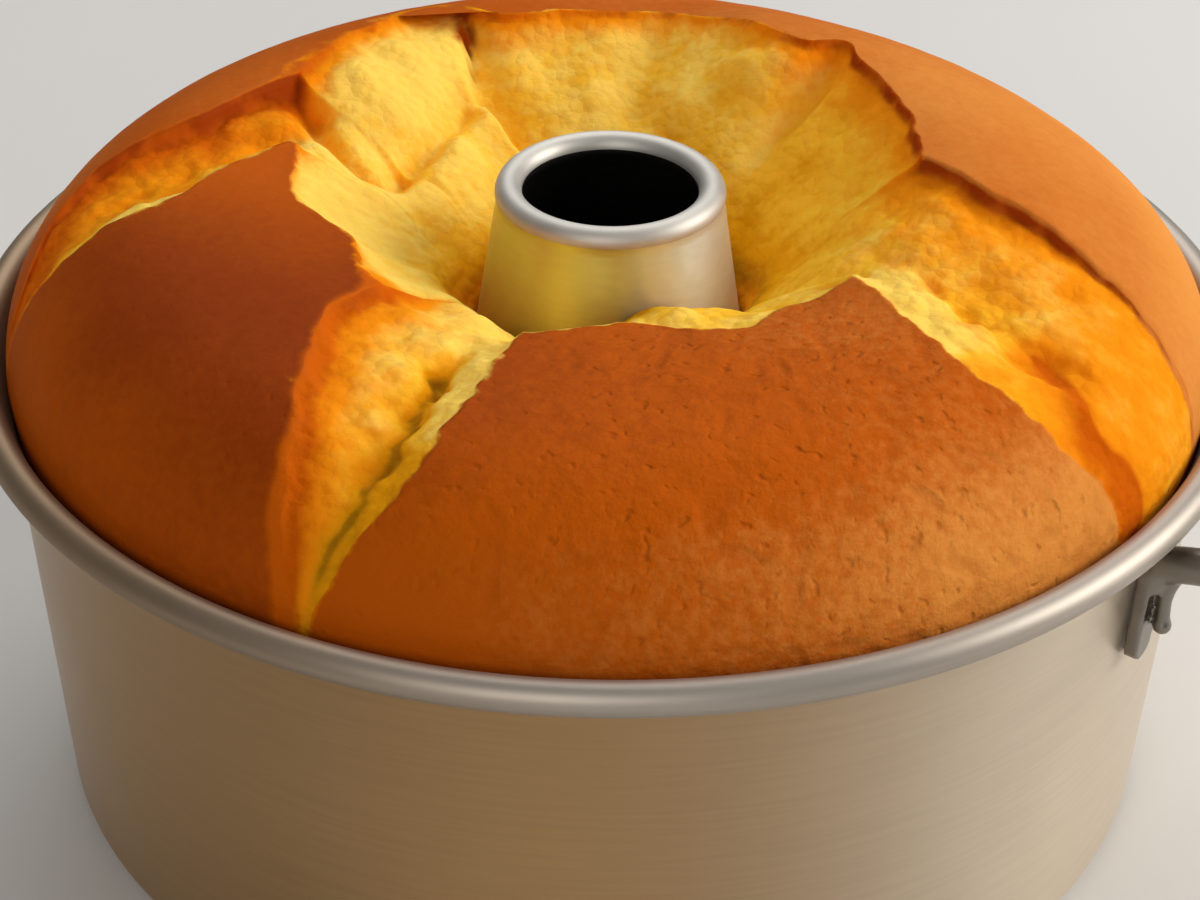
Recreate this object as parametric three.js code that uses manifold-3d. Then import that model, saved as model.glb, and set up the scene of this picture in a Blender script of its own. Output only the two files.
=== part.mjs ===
// A chiffon cake baked in a round aluminium tube tin, in millimetres with +Z up.
//
// The cake is one solid: a tall ring whose domed crust has torn into plates, with a funnel of bare
// crumb round the tube and three long cracks running out to the rim. The tin is a tapered wall with
// a rolled rim, a loose base that carries the tube, and one side handle.
//
// Everything is drawn about the axis of the tin, with the underside at z = 0. Azimuths are in
// degrees, 0 along +X and rising anticlockwise seen from above. The front of the cake is at -90.

import * as THREE from 'three';
import { mergeVertices } from 'three/addons/utils/BufferGeometryUtils.js';
import Module from 'manifold-3d';

const { clamp, degToRad, lerp, smoothstep } = THREE.MathUtils;

// ---------------------------------------------------------------- driving dimensions

const gap = 0.35; // clearance between pieces that touch
const sheet = 0.8; // thickness of the aluminium

const tin = {
  rimRadius: 134, // outside of the rolled rim
  beadRadius: 3.4, // the roll itself
  beadHeight: 100, // its centre above the underside
  wallTop: 126, // outside of the wall, just under the roll
  wallFoot: 119,
  footRound: 5, // rounding of the bottom corner
  ledgeInner: 104, // the ledge that the loose base rests on
  segments: 64,
};

const tube = {
  lipRadius: 21, // centre line of the rolled lip
  lipRoll: 2.8,
  lipHeight: 131.7,
  neck: 23.7, // outside of the tube under the lip
  neckHeight: 128.8,
  waist: 28, // outside at the height of the rim, where the flare eases
  foot: 38, // outside where it meets the base
  fillet: 1.5,
  baseRadius: 113.5,
  baseSheet: 1,
  segments: 44,
};

const cake = {
  sideRadius: 125.3, // where the dome rises out of the tin
  ridgeRadius: 88.8, // top of the dome on the left
  ridgeHeight: 31.7, // above the rim
  ridgeDip: 0.0034, // how fast the dome sinks inside the ridge, per mm
  flapReach: 31.5, // the right flap keeps the side's curve this far in
  flapHeight: 33, // its height there
  lump: 1.1, // swells of the torn crumb
  brinkReach: 9, // how far in the step under the crust's edge fades
  pocketReach: 4, // how far out the pockets beside the tube fade
  mouthDrop: 2, // how far the crumb is rounded off where a crack opens into the funnel
  mouthReach: 6,
  funnelRows: 10,
  crustRows: 17,
};

const handle = {
  azimuth: -15,
  halfSpan: 18, // from the middle to a foot, in degrees
  reach: 160, // middle of the grip from the axis of the tin
  barWidth: 7,
  barHeight: 7.6,
  drop: 6, // grip below the middle of the rim
  tabWidth: 7,
  tabLength: 21,
  tabSheet: 3,
  prong: 3,
  prongDrop: 24.7, // middle of the ball at its end, below the middle of the rim
  ball: 2,
};

// ---------------------------------------------------------------- small helpers

const point = (x, y) => new THREE.Vector2(x, y);

/** The point at a radius, azimuth and height. */
function polar(radius, azimuth, z = 0) {
  const angle = degToRad(azimuth);
  return new THREE.Vector3(radius * Math.cos(angle), radius * Math.sin(angle), z);
}

/** A smooth function through [x, y] points with rising x, level beyond both ends. */
function through(points) {
  const last = points.length - 1;
  const slope = points.map((_, i) => {
    const [x0, y0] = points[Math.max(i - 1, 0)];
    const [x1, y1] = points[Math.min(i + 1, last)];
    return (y1 - y0) / (x1 - x0);
  });
  return (x) => {
    if (x <= points[0][0]) return points[0][1];
    if (x >= points[last][0]) return points[last][1];
    const i = points.findIndex(([end]) => end > x) - 1;
    const [x0, y0] = points[i];
    const [x1, y1] = points[i + 1];
    const span = x1 - x0;
    const t = (x - x0) / span;
    const bend = slope[i] * span * t * (1 - t) ** 2 - slope[i + 1] * span * t * t * (1 - t);
    return lerp(y0, y1, t * t * (3 - 2 * t)) + bend;
  };
}

/** A closed profile of points turned about the Z axis. */
function turned(profile, segments) {
  const closed = [...profile, profile[0]];
  return bare(new THREE.LatheGeometry(closed, segments).rotateX(Math.PI / 2));
}

/** The same shape with positions only and its shared vertices merged. */
function bare(geometry) {
  geometry.deleteAttribute('normal');
  geometry.deleteAttribute('uv');
  return mergeVertices(geometry, 1e-4);
}

/** Points of an arc about a centre, from one angle to another in degrees. */
function arc(centre, radius, from, to, steps) {
  return Array.from({ length: steps + 1 }, (_, i) => {
    const angle = degToRad(lerp(from, to, i / steps));
    return point(centre.x + radius * Math.cos(angle), centre.y + radius * Math.sin(angle));
  });
}

// ---------------------------------------------------------------- tin

/** Outside radius of the wall at a height. */
function wallOutside(z) {
  const climb = (z - tin.footRound) / (tin.beadHeight - tin.beadRadius - tin.footRound);
  return lerp(tin.wallFoot, tin.wallTop, clamp(climb, 0, 1));
}

/** Outside radius of the tube at a height. */
function tubeOutside(z) {
  if (z > tin.beadHeight) {
    const t = (z - tin.beadHeight) / (tube.neckHeight - tin.beadHeight);
    return lerp(tube.waist, tube.neck, t);
  }
  return lerp(tube.foot, tube.waist, z / tin.beadHeight);
}

/** The tapered wall: a ledge for the base, a rounded foot and the rolled rim. */
function tinWall() {
  const round = tin.footRound;
  const corner = point(tin.wallFoot - round, round);
  const bead = point(tin.rimRadius - tin.beadRadius, tin.beadHeight);
  const shoulder = tin.beadHeight - tin.beadRadius - 1.5;
  const profile = [
    point(tin.ledgeInner, 0),
    ...arc(corner, round, -90, 0, 3),
    point(wallOutside(shoulder), shoulder),
    ...arc(bead, tin.beadRadius, -150, 165, 7),
    point(wallOutside(shoulder) - sheet, shoulder),
    ...arc(corner, round - sheet, 0, -90, 3),
    point(tin.ledgeInner, sheet),
  ];
  return turned(profile, tin.segments);
}

/** The loose base with its flared tube, open right through, and the lip rolled at its top. */
function tubeBase() {
  const under = sheet + gap;
  const top = under + tube.baseSheet;
  const lip = point(tube.lipRadius, tube.lipHeight);
  const profile = [
    point(tube.baseRadius, under),
    point(tube.baseRadius, top),
    point(tube.foot + tube.fillet, top),
    point(tubeOutside(top + tube.fillet), top + tube.fillet),
    point(tube.waist, tin.beadHeight),
    point(tube.neck, tube.neckHeight),
    ...arc(lip, tube.lipRoll, -25, 245, 7),
    point(tube.neck - sheet - 1, tube.neckHeight - 1.5),
    point(tube.waist - sheet, tin.beadHeight),
    point(tubeOutside(top + tube.fillet) - sheet, top + tube.fillet),
    point(tube.foot + tube.fillet - sheet, under),
  ];
  return turned(profile, tube.segments);
}

// ---------------------------------------------------------------- cake: the torn crust

// Inner edge of the crust, where the funnel of crumb begins: azimuth, radius.
const funnelEdge = through([
  [-108, 53.6], [-92, 42], [-81, 40.6], [-69.5, 50.6], [-61, 55], [-50, 52], [-33, 57.6],
  [3, 63.5], [25, 67.5], [42, 72.5], [49, 78], [53, 72], [62, 73.3], [83, 85.8], [107, 88.6],
  [114, 100], [125, 95.3], [143, 85.8], [158, 71.7], [171, 67], [182, 63.8], [194, 54.3],
  [205, 55.9], [217, 56.5], [235, 54], [252, 53.6],
]);

// By azimuth: the height above the rim where the crumb meets the tube, the pockets sunk beside the
// tube, how fast the funnel climbs from it (1 is straight, less bulges) and the step under the
// crust's edge.
const contact = through([
  [-112, 7], [-97, 7], [-90, 11], [-84, 15], [-76, 17], [-66, 17], [-55, 14], [-40, 9], [-20, 6.5],
  [60, 6], [130, 6], [160, 4.5], [185, 4], [215, 6], [248, 7],
]);
const pocket = through([
  [-112, 0], [-40, 0], [-15, 1.5], [8, 4], [30, 2], [90, 1], [140, 1.5], [165, 4.5], [180, 5.5],
  [198, 4.5], [215, 1], [235, 0],
]);
const bulge = through([
  [-112, 1.3], [-96, 1.4], [-86, 0.8], [-76, 0.6], [-60, 0.6], [-40, 0.75], [-10, 0.95], [60, 0.95],
  [160, 0.85], [200, 0.8], [230, 0.85], [248, 1.3],
]);
const brinkStep = through([
  [-112, 0.9], [-60, 1], [0, 1.2], [50, 1.4], [60, 0.8], [100, 0.8], [108, 1.6], [114, 1],
  [130, 0.5], [160, 0.9], [200, 0.9], [217, 0.7], [240, 0.9],
]);

// The long cracks. Each lies between the edges of two plates, given as radius, azimuth from the
// funnel out to the rim. Its sections give the depth below the dome across it, from the low plate
// at 0 to the high plate at 1, at shares of the way out.
const rightCrack = {
  low: through([[57.6, -33], [73, -39.4], [87, -43.6], [98, -44.7], [115, -43], [125, -39]]),
  high: through([[63.5, 3.4], [75, -6], [88, -10.7], [104, -15.7], [119, -20.2], [125, -22]]),
  sections: [
    [0, through([[0, 0], [0.1, 1], [0.25, 2], [0.5, 2.8], [0.8, 2.8], [0.96, 2.3], [1, 0]])],
    [0.35, through([
      [0, 0], [0.06, 0.7], [0.24, 2.2], [0.31, 5.2], [0.42, 5.4], [0.6, 4], [0.9, 3], [0.97, 2.6],
      [1, 0],
    ])],
    [0.65, through([
      [0, 0], [0.08, 1], [0.22, 2.8], [0.3, 5.6], [0.4, 5.8], [0.46, 3], [0.7, 2.4], [0.97, 1.8],
      [1, 0],
    ])],
    [0.85, through([
      [0, 0], [0.07, 1.6], [0.13, 3.8], [0.19, 4], [0.25, 1.6], [0.7, 1.2], [0.97, 0.9], [1, 0],
    ])],
  ],
};
const leftBackCrack = {
  low: through([[71.3, 162.3], [81, 175], [88, 183], [98, 186.8], [113, 190.8], [125, 193]]),
  high: through([
    [85.8, 143], [90, 153.2], [93.4, 160.5], [104, 167.8], [115, 177.3], [121, 189], [125, 191],
  ]),
  sections: [
    [0, through([[0, 0], [0.12, 1.2], [0.4, 3.2], [0.8, 3], [0.95, 2.4], [1, 0]])],
    [0.3, through([[0, 0], [0.1, 1.4], [0.3, 4], [0.6, 4.6], [0.88, 3.6], [0.96, 2.8], [1, 0]])],
    [0.8, through([[0, 0], [0.12, 1.2], [0.3, 3.6], [0.6, 4.2], [0.9, 3], [0.96, 2.4], [1, 0]])],
  ],
};
const leftFrontCrack = {
  low: through([[53.6, 252], [73.6, 252.6], [90, 252.6], [110, 250.5], [123, 246.5], [125, 245]]),
  high: through([[56.5, 217], [72.5, 222.2], [83, 228], [99, 235], [112, 238.7], [125, 242.5]]),
  sections: [
    [0, through([[0, 0], [0.12, 0.8], [0.3, 1.6], [0.6, 1.2], [0.9, 0.6], [1, 0]])],
    [0.3, through([
      [0, 0], [0.04, 0.7], [0.18, 2.8], [0.24, 6.2], [0.3, 6.4], [0.42, 3.6], [0.7, 2.4], [0.9, 1.4],
      [1, 0],
    ])],
    [0.65, through([
      [0, 0], [0.06, 0.9], [0.24, 3.6], [0.31, 7.2], [0.4, 7.4], [0.56, 4.4], [0.8, 2.4], [0.92, 1.4],
      [1, 0],
    ])],
    [0.88, through([[0, 0], [0.1, 1.2], [0.35, 4.5], [0.5, 5.5], [0.65, 4.5], [0.85, 2], [1, 0]])],
  ],
};

/** Radius at which a plate's edge leaves the funnel. */
function corner(edge) {
  let radius = 60;
  for (let i = 0; i < 12; i += 1) radius = funnelEdge(edge(radius));
  return radius;
}

/** A plate's edge as azimuths by the share of the way from the funnel to the rim. */
function tearLine(edge) {
  const start = corner(edge);
  return (share) => edge(lerp(start, cake.sideRadius, share));
}

const right = { low: tearLine(rightCrack.low), high: tearLine(rightCrack.high) };
const leftBack = { low: tearLine(leftBackCrack.low), high: tearLine(leftBackCrack.high) };
const leftFront = { low: tearLine(leftFrontCrack.low), high: tearLine(leftFrontCrack.high) };

// The sectors round the cake, each with its two bounding lines and its number of columns.
const sectors = [
  { from: (s) => leftFront.low(s) - 360, to: right.low, columns: 24 },
  { from: right.low, to: right.high, columns: 14, crack: rightCrack },
  { from: right.high, to: leftBack.high, columns: 43 },
  { from: leftBack.high, to: leftBack.low, columns: 10, crack: leftBackCrack, mirrored: true },
  { from: leftBack.low, to: leftFront.high, columns: 19 },
  { from: leftFront.high, to: leftFront.low, columns: 14, crack: leftFrontCrack, mirrored: true },
];

/** Places in plan from radius, azimuth pairs. */
function spots(pairs) {
  return pairs.map(([radius, azimuth]) => polar(radius, azimuth));
}

// Folds in the crumb: each a line of radius, azimuth points with its depth and half width. A fold
// with a depth below 0 is a swelling.
const folds = [
  {
    line: [
      [84, 142], [80, 145], [74, 149], [68, 152], [63, 154], [57, 155], [54, 151], [55, 146], [57, 137],
      [60, 129], [65, 122], [69, 118],
    ],
    depth: 4.6,
    width: 3.2,
  },
  { line: [[82, 133], [74, 134], [68, 133]], depth: -3.4, width: 10 },
  { line: [[80, 121], [70, 124]], depth: -2, width: 7 },
  { line: [[52, 129], [45, 138], [45, 149]], depth: -3, width: 6 },
  {
    line: [[82, 153], [75, 154], [63, 158], [55, 160], [45, 170], [38, 178], [38, 195], [41, 232]],
    depth: -2.2,
    width: 4.5,
  },
  { line: [[71, 55], [65, 60], [64, 66]], depth: -2.6, width: 5 },
  { line: [[76, 49], [66, 47], [58, 50]], depth: 2, width: 4 },
  { line: [[66, 78], [57, 74]], depth: -1.8, width: 5 },
  { line: [[78, 92], [62, 94], [50, 97]], depth: -1.4, width: 6 },
  { line: [[80, 84], [60, 84]], depth: 1.2, width: 3.5 },
].map((fold) => ({ ...fold, line: spots(fold.line) }));

// The notch at the back: a step in the funnel, with the crumb sunk on its clockwise side.
const notch = {
  line: spots([
    [100, 111.5], [92, 111.6], [88, 112.5], [80, 114.2], [72, 115.9], [66, 114.2], [59, 113.3],
    [50, 112], [42, 110],
  ]),
  depth: 3.6,
  reach: 16,
  lip: 1.6,
  lipReach: 9,
  halfSlope: 1.2,
};

/** Distance in plan from a place to a line of points, above 0 on the line's clockwise side. */
function besideLine(line, x, y) {
  const place = new THREE.Vector3(x, y, 0);
  const nearest = new THREE.Vector3();
  return line.slice(1).reduce((best, end, i) => {
    const start = line[i];
    new THREE.Line3(start, end).closestPointToPoint(place, true, nearest);
    const away = nearest.distanceTo(place);
    const turn = (x - start.x) * (end.y - start.y) - (y - start.y) * (end.x - start.x);
    return away < Math.abs(best) ? away * -Math.sign(turn) : best;
  }, Infinity);
}

/** Height of the whole crust above the rim, before it tore. */
function domeHeight(radius, azimuth) {
  const out = clamp((radius - cake.ridgeRadius) / (cake.sideRadius - cake.ridgeRadius), 0, 1);
  const dip = cake.ridgeDip * Math.max(cake.ridgeRadius - radius, 0) ** 2;
  const round = cake.ridgeHeight * Math.sqrt(1 - out * out) - dip;
  const inside = Math.max(cake.sideRadius - cake.flapReach - radius, 0);
  const shoulder = clamp((cake.sideRadius - radius) / cake.flapReach, 0, 1);
  const flap = cake.flapHeight * shoulder ** 0.436 + 0.457 * inside - 0.0085 * inside * inside;
  const flapShare = smoothstep(azimuth, -45, -5) * (1 - smoothstep(azimuth, 62, 88));
  return lerp(round, flap, flapShare);
}

/** Depth of a crack below the dome, across it from the low plate at 0 to the high plate at 1. */
function crackDepth({ sections }, side, share) {
  const depth = sections.slice(1).reduce((deep, [stop, line], i) => (
    lerp(deep, line(side), smoothstep(share, sections[i][0], stop))), sections[0][1](side));
  return depth * (1 - share ** 4);
}

/** Gentle swells of torn crumb, from -1 to 1. */
function swells(x, y) {
  const wave = (length, angle, shift) => Math.sin(
    (2 * Math.PI * (x * Math.cos(angle) + y * Math.sin(angle))) / length + shift,
  );
  return 0.5 * wave(31, 0.4, 1) * wave(27, 2.1, 4) + 0.5 * wave(17, 1.2, 2) * wave(19, 2.9, 5);
}

/** How deep the folds, the notch and the swells of bare crumb lie at a place. */
function crumbRelief(x, y) {
  const folded = folds.reduce((sum, { line, depth, width }) => {
    const away = besideLine(line, x, y) / width;
    return sum + depth * Math.exp(-away * away);
  }, 0);
  const beside = besideLine(notch.line, x, y);
  const sunk = notch.depth * Math.exp(-Math.abs(beside) / notch.reach);
  const raised = -notch.lip * Math.exp(-Math.abs(beside) / notch.lipReach);
  const stepped = lerp(raised, sunk, smoothstep(beside, -notch.halfSlope, notch.halfSlope));
  return folded + stepped - cake.lump * swells(x, y);
}

/** How bare a place across a crack is: 1 in the crumb, easing to 0 at both plates. */
function bareAcross(side) {
  return smoothstep(side, 0, 0.1) * (1 - smoothstep(side, 0.9, 1));
}

/** A point of the torn top beyond the funnel, at a share of the way to the rim. */
function crustPoint(sector, across, share) {
  const azimuth = lerp(sector.from(share), sector.to(share), across);
  const start = funnelEdge(lerp(sector.from(0), sector.to(0), across));
  const radius = lerp(start, cake.sideRadius, share);
  const place = polar(radius, azimuth);
  let height = domeHeight(radius, azimuth);
  if (sector.crack) {
    const side = sector.mirrored ? 1 - across : across;
    height -= crackDepth(sector.crack, side, share);
    const mouth = cake.mouthDrop * Math.exp((start - radius) / cake.mouthReach);
    height -= bareAcross(side) * (1 - share ** 4) * (mouth + crumbRelief(place.x, place.y));
  }
  return place.setZ(tin.beadHeight + height);
}

/** A point of the funnel, from the tube at 0 to the edge of the crust at 1. */
function funnelPoint(sector, across, share) {
  const azimuth = lerp(sector.from(0), sector.to(0), across);
  const sunk = pocket(azimuth);
  const foot = contact(azimuth);
  const inner = tubeOutside(tin.beadHeight + foot - sunk) + gap;
  const outer = funnelEdge(azimuth);
  const radius = lerp(inner, outer, share);
  const place = polar(radius, azimuth);
  const fromEdge = outer - radius;
  let bare = smoothstep(share, 0, 0.25);
  let drop = 0;
  if (sector.crack) {
    const side = sector.mirrored ? 1 - across : across;
    bare *= lerp(1, bareAcross(side), share);
    drop = crackDepth(sector.crack, side, 0) * share ** 3;
    drop += bare * cake.mouthDrop * Math.exp(-fromEdge / cake.mouthReach);
  } else {
    bare *= 1 - smoothstep(share, 0.85, 1);
    drop = brinkStep(azimuth) * smoothstep(fromEdge, 0, 1.2) * Math.exp(-fromEdge / cake.brinkReach);
  }
  const reach = cake.pocketReach;
  const deep = sunk * (Math.exp((inner - radius) / reach) - Math.exp((inner - outer) / reach));
  const climb = lerp(foot, domeHeight(outer, azimuth), share ** bulge(azimuth));
  const height = climb - bare * crumbRelief(place.x, place.y) - drop - deep;
  return place.setZ(tin.beadHeight + height);
}

/** The cake: a ring of rows that run up the tube, over the torn top and down inside the tin. */
function cakeBody() {
  const floor = sheet + gap + tube.baseSheet + gap;
  const even = (count, place) => Array.from({ length: count }, (_, i) => place((i + 1) / count));
  const ring = (radius, z) => (sector, across) => (
    polar(radius, lerp(sector.from(1), sector.to(1), across), z));
  const bore = (z, clear = gap) => (sector, across) => (
    polar(tubeOutside(z) + clear, lerp(sector.from(0), sector.to(0), across), z));
  const side = tin.beadHeight - tin.beadRadius - 1.5;
  const rows = [
    bore(floor, tube.fillet + 2 * gap),
    bore(floor + tube.fillet + gap),
    bore(tin.beadHeight - 4),
    (sector, across) => funnelPoint(sector, across, 0),
    ...even(cake.funnelRows, (t) => (sector, across) => (
      funnelPoint(sector, across, 1 - (1 - t) ** 1.35))),
    ...even(cake.crustRows, (t) => (sector, across) => (
      crustPoint(sector, across, Math.sin((t * Math.PI) / 2)))),
    ring(wallOutside(side) - sheet - gap, side),
    ring(wallOutside(tin.footRound) - sheet - gap, tin.footRound),
    ring(tin.wallFoot - 3.5, floor),
  ];
  const places = sectors.flatMap((sector) => (
    Array.from({ length: sector.columns }, (_, i) => [sector, i / sector.columns])));
  const blank = Array.from({ length: rows.length + 1 }, (_, j) => point(1, j));
  const geometry = new THREE.LatheGeometry(blank, places.length);
  const position = geometry.attributes.position;
  for (let i = 0; i <= places.length; i += 1) {
    const [sector, across] = places[i % places.length];
    for (let j = 0; j <= rows.length; j += 1) {
      const { x, y, z } = rows[(rows.length - j) % rows.length](sector, across);
      position.setXYZ(i * (rows.length + 1) + j, x, y, z);
    }
  }
  return bare(geometry);
}

// ---------------------------------------------------------------- handle

const wasm = await Module();
wasm.setup();

/** A closed geometry as a solid that can be joined and cut. */
function solid(geometry) {
  const shape = bare(geometry);
  return new wasm.Manifold(new wasm.Mesh({
    numProp: 3,
    vertProperties: new Float32Array(shape.attributes.position.array),
    triVerts: new Uint32Array(shape.index.array),
  }));
}

/** A solid back as a geometry. */
function geometryOf(body) {
  const { vertProperties, triVerts } = body.getMesh();
  const geometry = new THREE.BufferGeometry();
  geometry.setAttribute('position', new THREE.BufferAttribute(new Float32Array(vertProperties), 3));
  geometry.setIndex(new THREE.BufferAttribute(new Uint32Array(triVerts), 1));
  return geometry;
}

/** An oval section swept along a smooth line through points. */
function swept(points, width, height, sides, steps) {
  const section = new THREE.Shape(
    new THREE.EllipseCurve(0, 0, height / 2, width / 2, 0, 2 * Math.PI).getPoints(sides).slice(0, -1),
  );
  const path = new THREE.CatmullRomCurve3(points);
  return new THREE.ExtrudeGeometry(section, { steps, bevelEnabled: false, extrudePath: path });
}

/** One foot of the handle: a tab on the wall and a prong that curls down to a ball. */
function handleFoot(azimuth) {
  const beadZ = tin.beadHeight;
  const tabTop = beadZ - 13;
  const tilt = Math.atan((tin.wallTop - tin.wallFoot) / tin.beadHeight);
  const half = handle.tabWidth / 2;
  const outline = new THREE.Shape()
    .moveTo(half, 0)
    .lineTo(-half, 0)
    .lineTo(-half, -handle.tabLength + half)
    .absarc(0, -handle.tabLength + half, half, Math.PI, 2 * Math.PI, false)
    .lineTo(half, 0);
  const tab = new THREE.ExtrudeGeometry(outline, {
    depth: handle.tabSheet + 1, bevelEnabled: false, curveSegments: 5,
  });
  tab.rotateX(Math.PI / 2 + tilt).rotateZ(degToRad(azimuth + 90));
  tab.translate(...polar(wallOutside(tabTop) - 1, azimuth, tabTop));
  const prong = swept([
    polar(135, azimuth, beadZ - 9), polar(132, azimuth, beadZ - 13.5),
    polar(130.5, azimuth, beadZ - 18.5), polar(130.5, azimuth, beadZ - handle.prongDrop),
  ], handle.prong, handle.prong, 8, 6);
  const ball = new THREE.SphereGeometry(handle.ball, 8, 6);
  ball.translate(...polar(130.5, azimuth, beadZ - handle.prongDrop));
  return [tab, prong, ball];
}

/** The side handle, one solid kept just off the wall of the tin. */
function sideHandle() {
  const { azimuth, halfSpan, reach, drop } = handle;
  const z = tin.beadHeight;
  const side = (sign) => [
    polar(126, azimuth + sign * halfSpan, z - 16),
    polar(129.5, azimuth + sign * halfSpan, z - 11),
    polar(139, azimuth + sign * halfSpan, z - 8),
    polar(150, azimuth + sign * (halfSpan - 0.5), z - drop - 0.5),
    polar(159, azimuth + sign * (halfSpan - 5), z - drop),
  ];
  const route = [...side(-1), polar(reach, azimuth, z - drop), ...side(1).reverse()];
  const bar = swept(route, handle.barWidth, handle.barHeight, 10, 26);
  const feet = [-1, 1].flatMap((sign) => handleFoot(azimuth + sign * halfSpan));
  const clear = turned([
    point(1, 0),
    point(tin.wallFoot + gap, 0),
    point(tin.wallTop + gap, tin.beadHeight),
    point(1, tin.beadHeight),
  ], tin.segments);
  const joined = feet.reduce((body, foot) => body.add(solid(foot)), solid(bar));
  return geometryOf(joined.subtract(solid(clear)));
}

// ---------------------------------------------------------------- model

const crumbAndCrust = new THREE.MeshStandardMaterial({ color: 0xb9671f, roughness: 0.75 });
const aluminium = new THREE.MeshStandardMaterial({ color: 0xc9c3ba, roughness: 0.42, metalness: 1 });
const castAluminium = new THREE.MeshStandardMaterial({ color: 0xa59e94, roughness: 0.35, metalness: 1 });

/** A named mesh. */
function named(name, geometry, material) {
  geometry.computeVertexNormals();
  const mesh = new THREE.Mesh(geometry, material);
  mesh.name = name;
  return mesh;
}

const model = new THREE.Group();
model.add(
  named('cake', cakeBody(), crumbAndCrust),
  named('tin_wall', tinWall(), aluminium),
  named('tube_base', tubeBase(), aluminium),
  named('handle', sideHandle(), castAluminium),
);

// The origin is under the middle of the whole outline, handle included.
const outline = new THREE.Box3().setFromObject(model).getCenter(new THREE.Vector3());
model.position.set(-outline.x, -outline.y, 0);

export default model;
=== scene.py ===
"""A chiffon cake in its aluminium tube tin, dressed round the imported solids.

Drawn sizes are in millimetres about the axis of the tin, with the underside at zero. The finished
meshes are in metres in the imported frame, where that axis stands a little to the left of the origin.
Azimuths are in degrees, 0 along +X and rising anticlockwise seen from above. The front is at -90.
"""
import logging
import math
from dataclasses import dataclass
from enum import Enum
from typing import Callable

import bmesh
import bpy
import numpy as np
from mathutils import Matrix, Vector, noise


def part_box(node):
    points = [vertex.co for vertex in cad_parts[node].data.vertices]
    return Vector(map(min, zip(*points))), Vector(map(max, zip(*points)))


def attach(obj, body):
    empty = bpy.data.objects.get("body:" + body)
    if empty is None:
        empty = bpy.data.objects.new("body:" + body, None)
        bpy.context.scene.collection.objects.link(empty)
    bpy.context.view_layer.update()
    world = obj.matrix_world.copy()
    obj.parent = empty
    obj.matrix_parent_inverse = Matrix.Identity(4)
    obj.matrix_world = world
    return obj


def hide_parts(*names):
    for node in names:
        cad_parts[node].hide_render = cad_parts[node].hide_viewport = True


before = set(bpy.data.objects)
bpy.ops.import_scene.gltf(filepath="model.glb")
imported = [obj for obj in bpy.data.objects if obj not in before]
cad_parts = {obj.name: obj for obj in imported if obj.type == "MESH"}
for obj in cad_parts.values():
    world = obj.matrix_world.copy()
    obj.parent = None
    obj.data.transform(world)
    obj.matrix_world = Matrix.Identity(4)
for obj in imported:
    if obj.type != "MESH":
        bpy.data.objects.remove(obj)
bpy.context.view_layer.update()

Array = np.ndarray
Triple = tuple[float, float, float]
Colour = Triple
Points = tuple[tuple[float, float], ...]
Socket = bpy.types.NodeSocket
Value = Socket | float | tuple

MM = 0.001
BODY = "root"
log = logging.getLogger("chiffon_cake")


# ---------------------------------------------------------------- small helpers


def smoothstep(low: float, high: float, value: Array | float) -> Array:
    """Rise smoothly from 0 to 1.

    Args:
        low: Where the rise starts.
        high: Where it ends, above low.
        value: The value or values to place.

    Returns:
        The share risen, from 0 to 1.
    """
    share = np.clip((np.asarray(value, float) - low) / (high - low), 0, 1)
    return share * share * (3 - 2 * share)


def blend(first: Array | float, second: Array | float, share: Array | float) -> Array:
    """Blend two values.

    Args:
        first: The value at share 0.
        second: The value at share 1.
        share: How far to go from the first to the second.

    Returns:
        The blended value or values.
    """
    return first + (second - first) * share


def plateau(start: float, full: float, easing: float, end: float, value: Array | float) -> Array:
    """Rise smoothly from 0 at start to 1 at full, and fall again from easing to 0 at end."""
    return smoothstep(start, full, value) * (1 - smoothstep(easing, end, value))


def fading(away: Array, reach: Array | float) -> Array:
    """Fall from 1 at no distance towards 0, by the same share over each reach."""
    return np.exp(-away / reach)


def bell(away: Array, width: float) -> Array:
    """Fall from 1 at no distance towards 0 along a bell curve of a width."""
    return np.exp(-((away / width) ** 2))


def in_plan(radius: Array | float, azimuth: Array) -> tuple[Array, Array]:
    """Return the X and Y of places at a radius and azimuth."""
    turn = np.radians(azimuth)
    return radius * np.cos(turn), radius * np.sin(turn)


def off_line(line: Points, x: Array, y: Array) -> tuple[Array, Array]:
    """Measure places in plan against a line.

    Args:
        line: The line's points of radius and azimuth.
        x: Places along X.
        y: Places along Y.

    Returns:
        The distance of each place from the line, and the same with a sign, above 0 on the left.
    """
    spots = [(r * math.cos(math.radians(a)), r * math.sin(math.radians(a))) for r, a in line]
    nearest = np.full(np.shape(x), np.inf)
    signed = np.zeros(np.shape(x))
    for (x0, y0), (x1, y1) in zip(spots, spots[1:]):
        dx, dy = x1 - x0, y1 - y0
        t = np.clip(((x - x0) * dx + (y - y0) * dy) / (dx * dx + dy * dy), 0, 1)
        away = np.hypot(x - x0 - t * dx, y - y0 - t * dy)
        side = np.sign((x - x0) * dy - (y - y0) * dx)
        signed = np.where(away < nearest, away * -side, signed)
        nearest = np.minimum(nearest, away)
    return nearest, signed


def tin_axis() -> Vector:
    """Return the foot of the tin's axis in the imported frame, in metres."""
    low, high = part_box("tin_wall")
    return Vector(((low[0] + high[0]) / 2, (low[1] + high[1]) / 2, low[2]))


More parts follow.
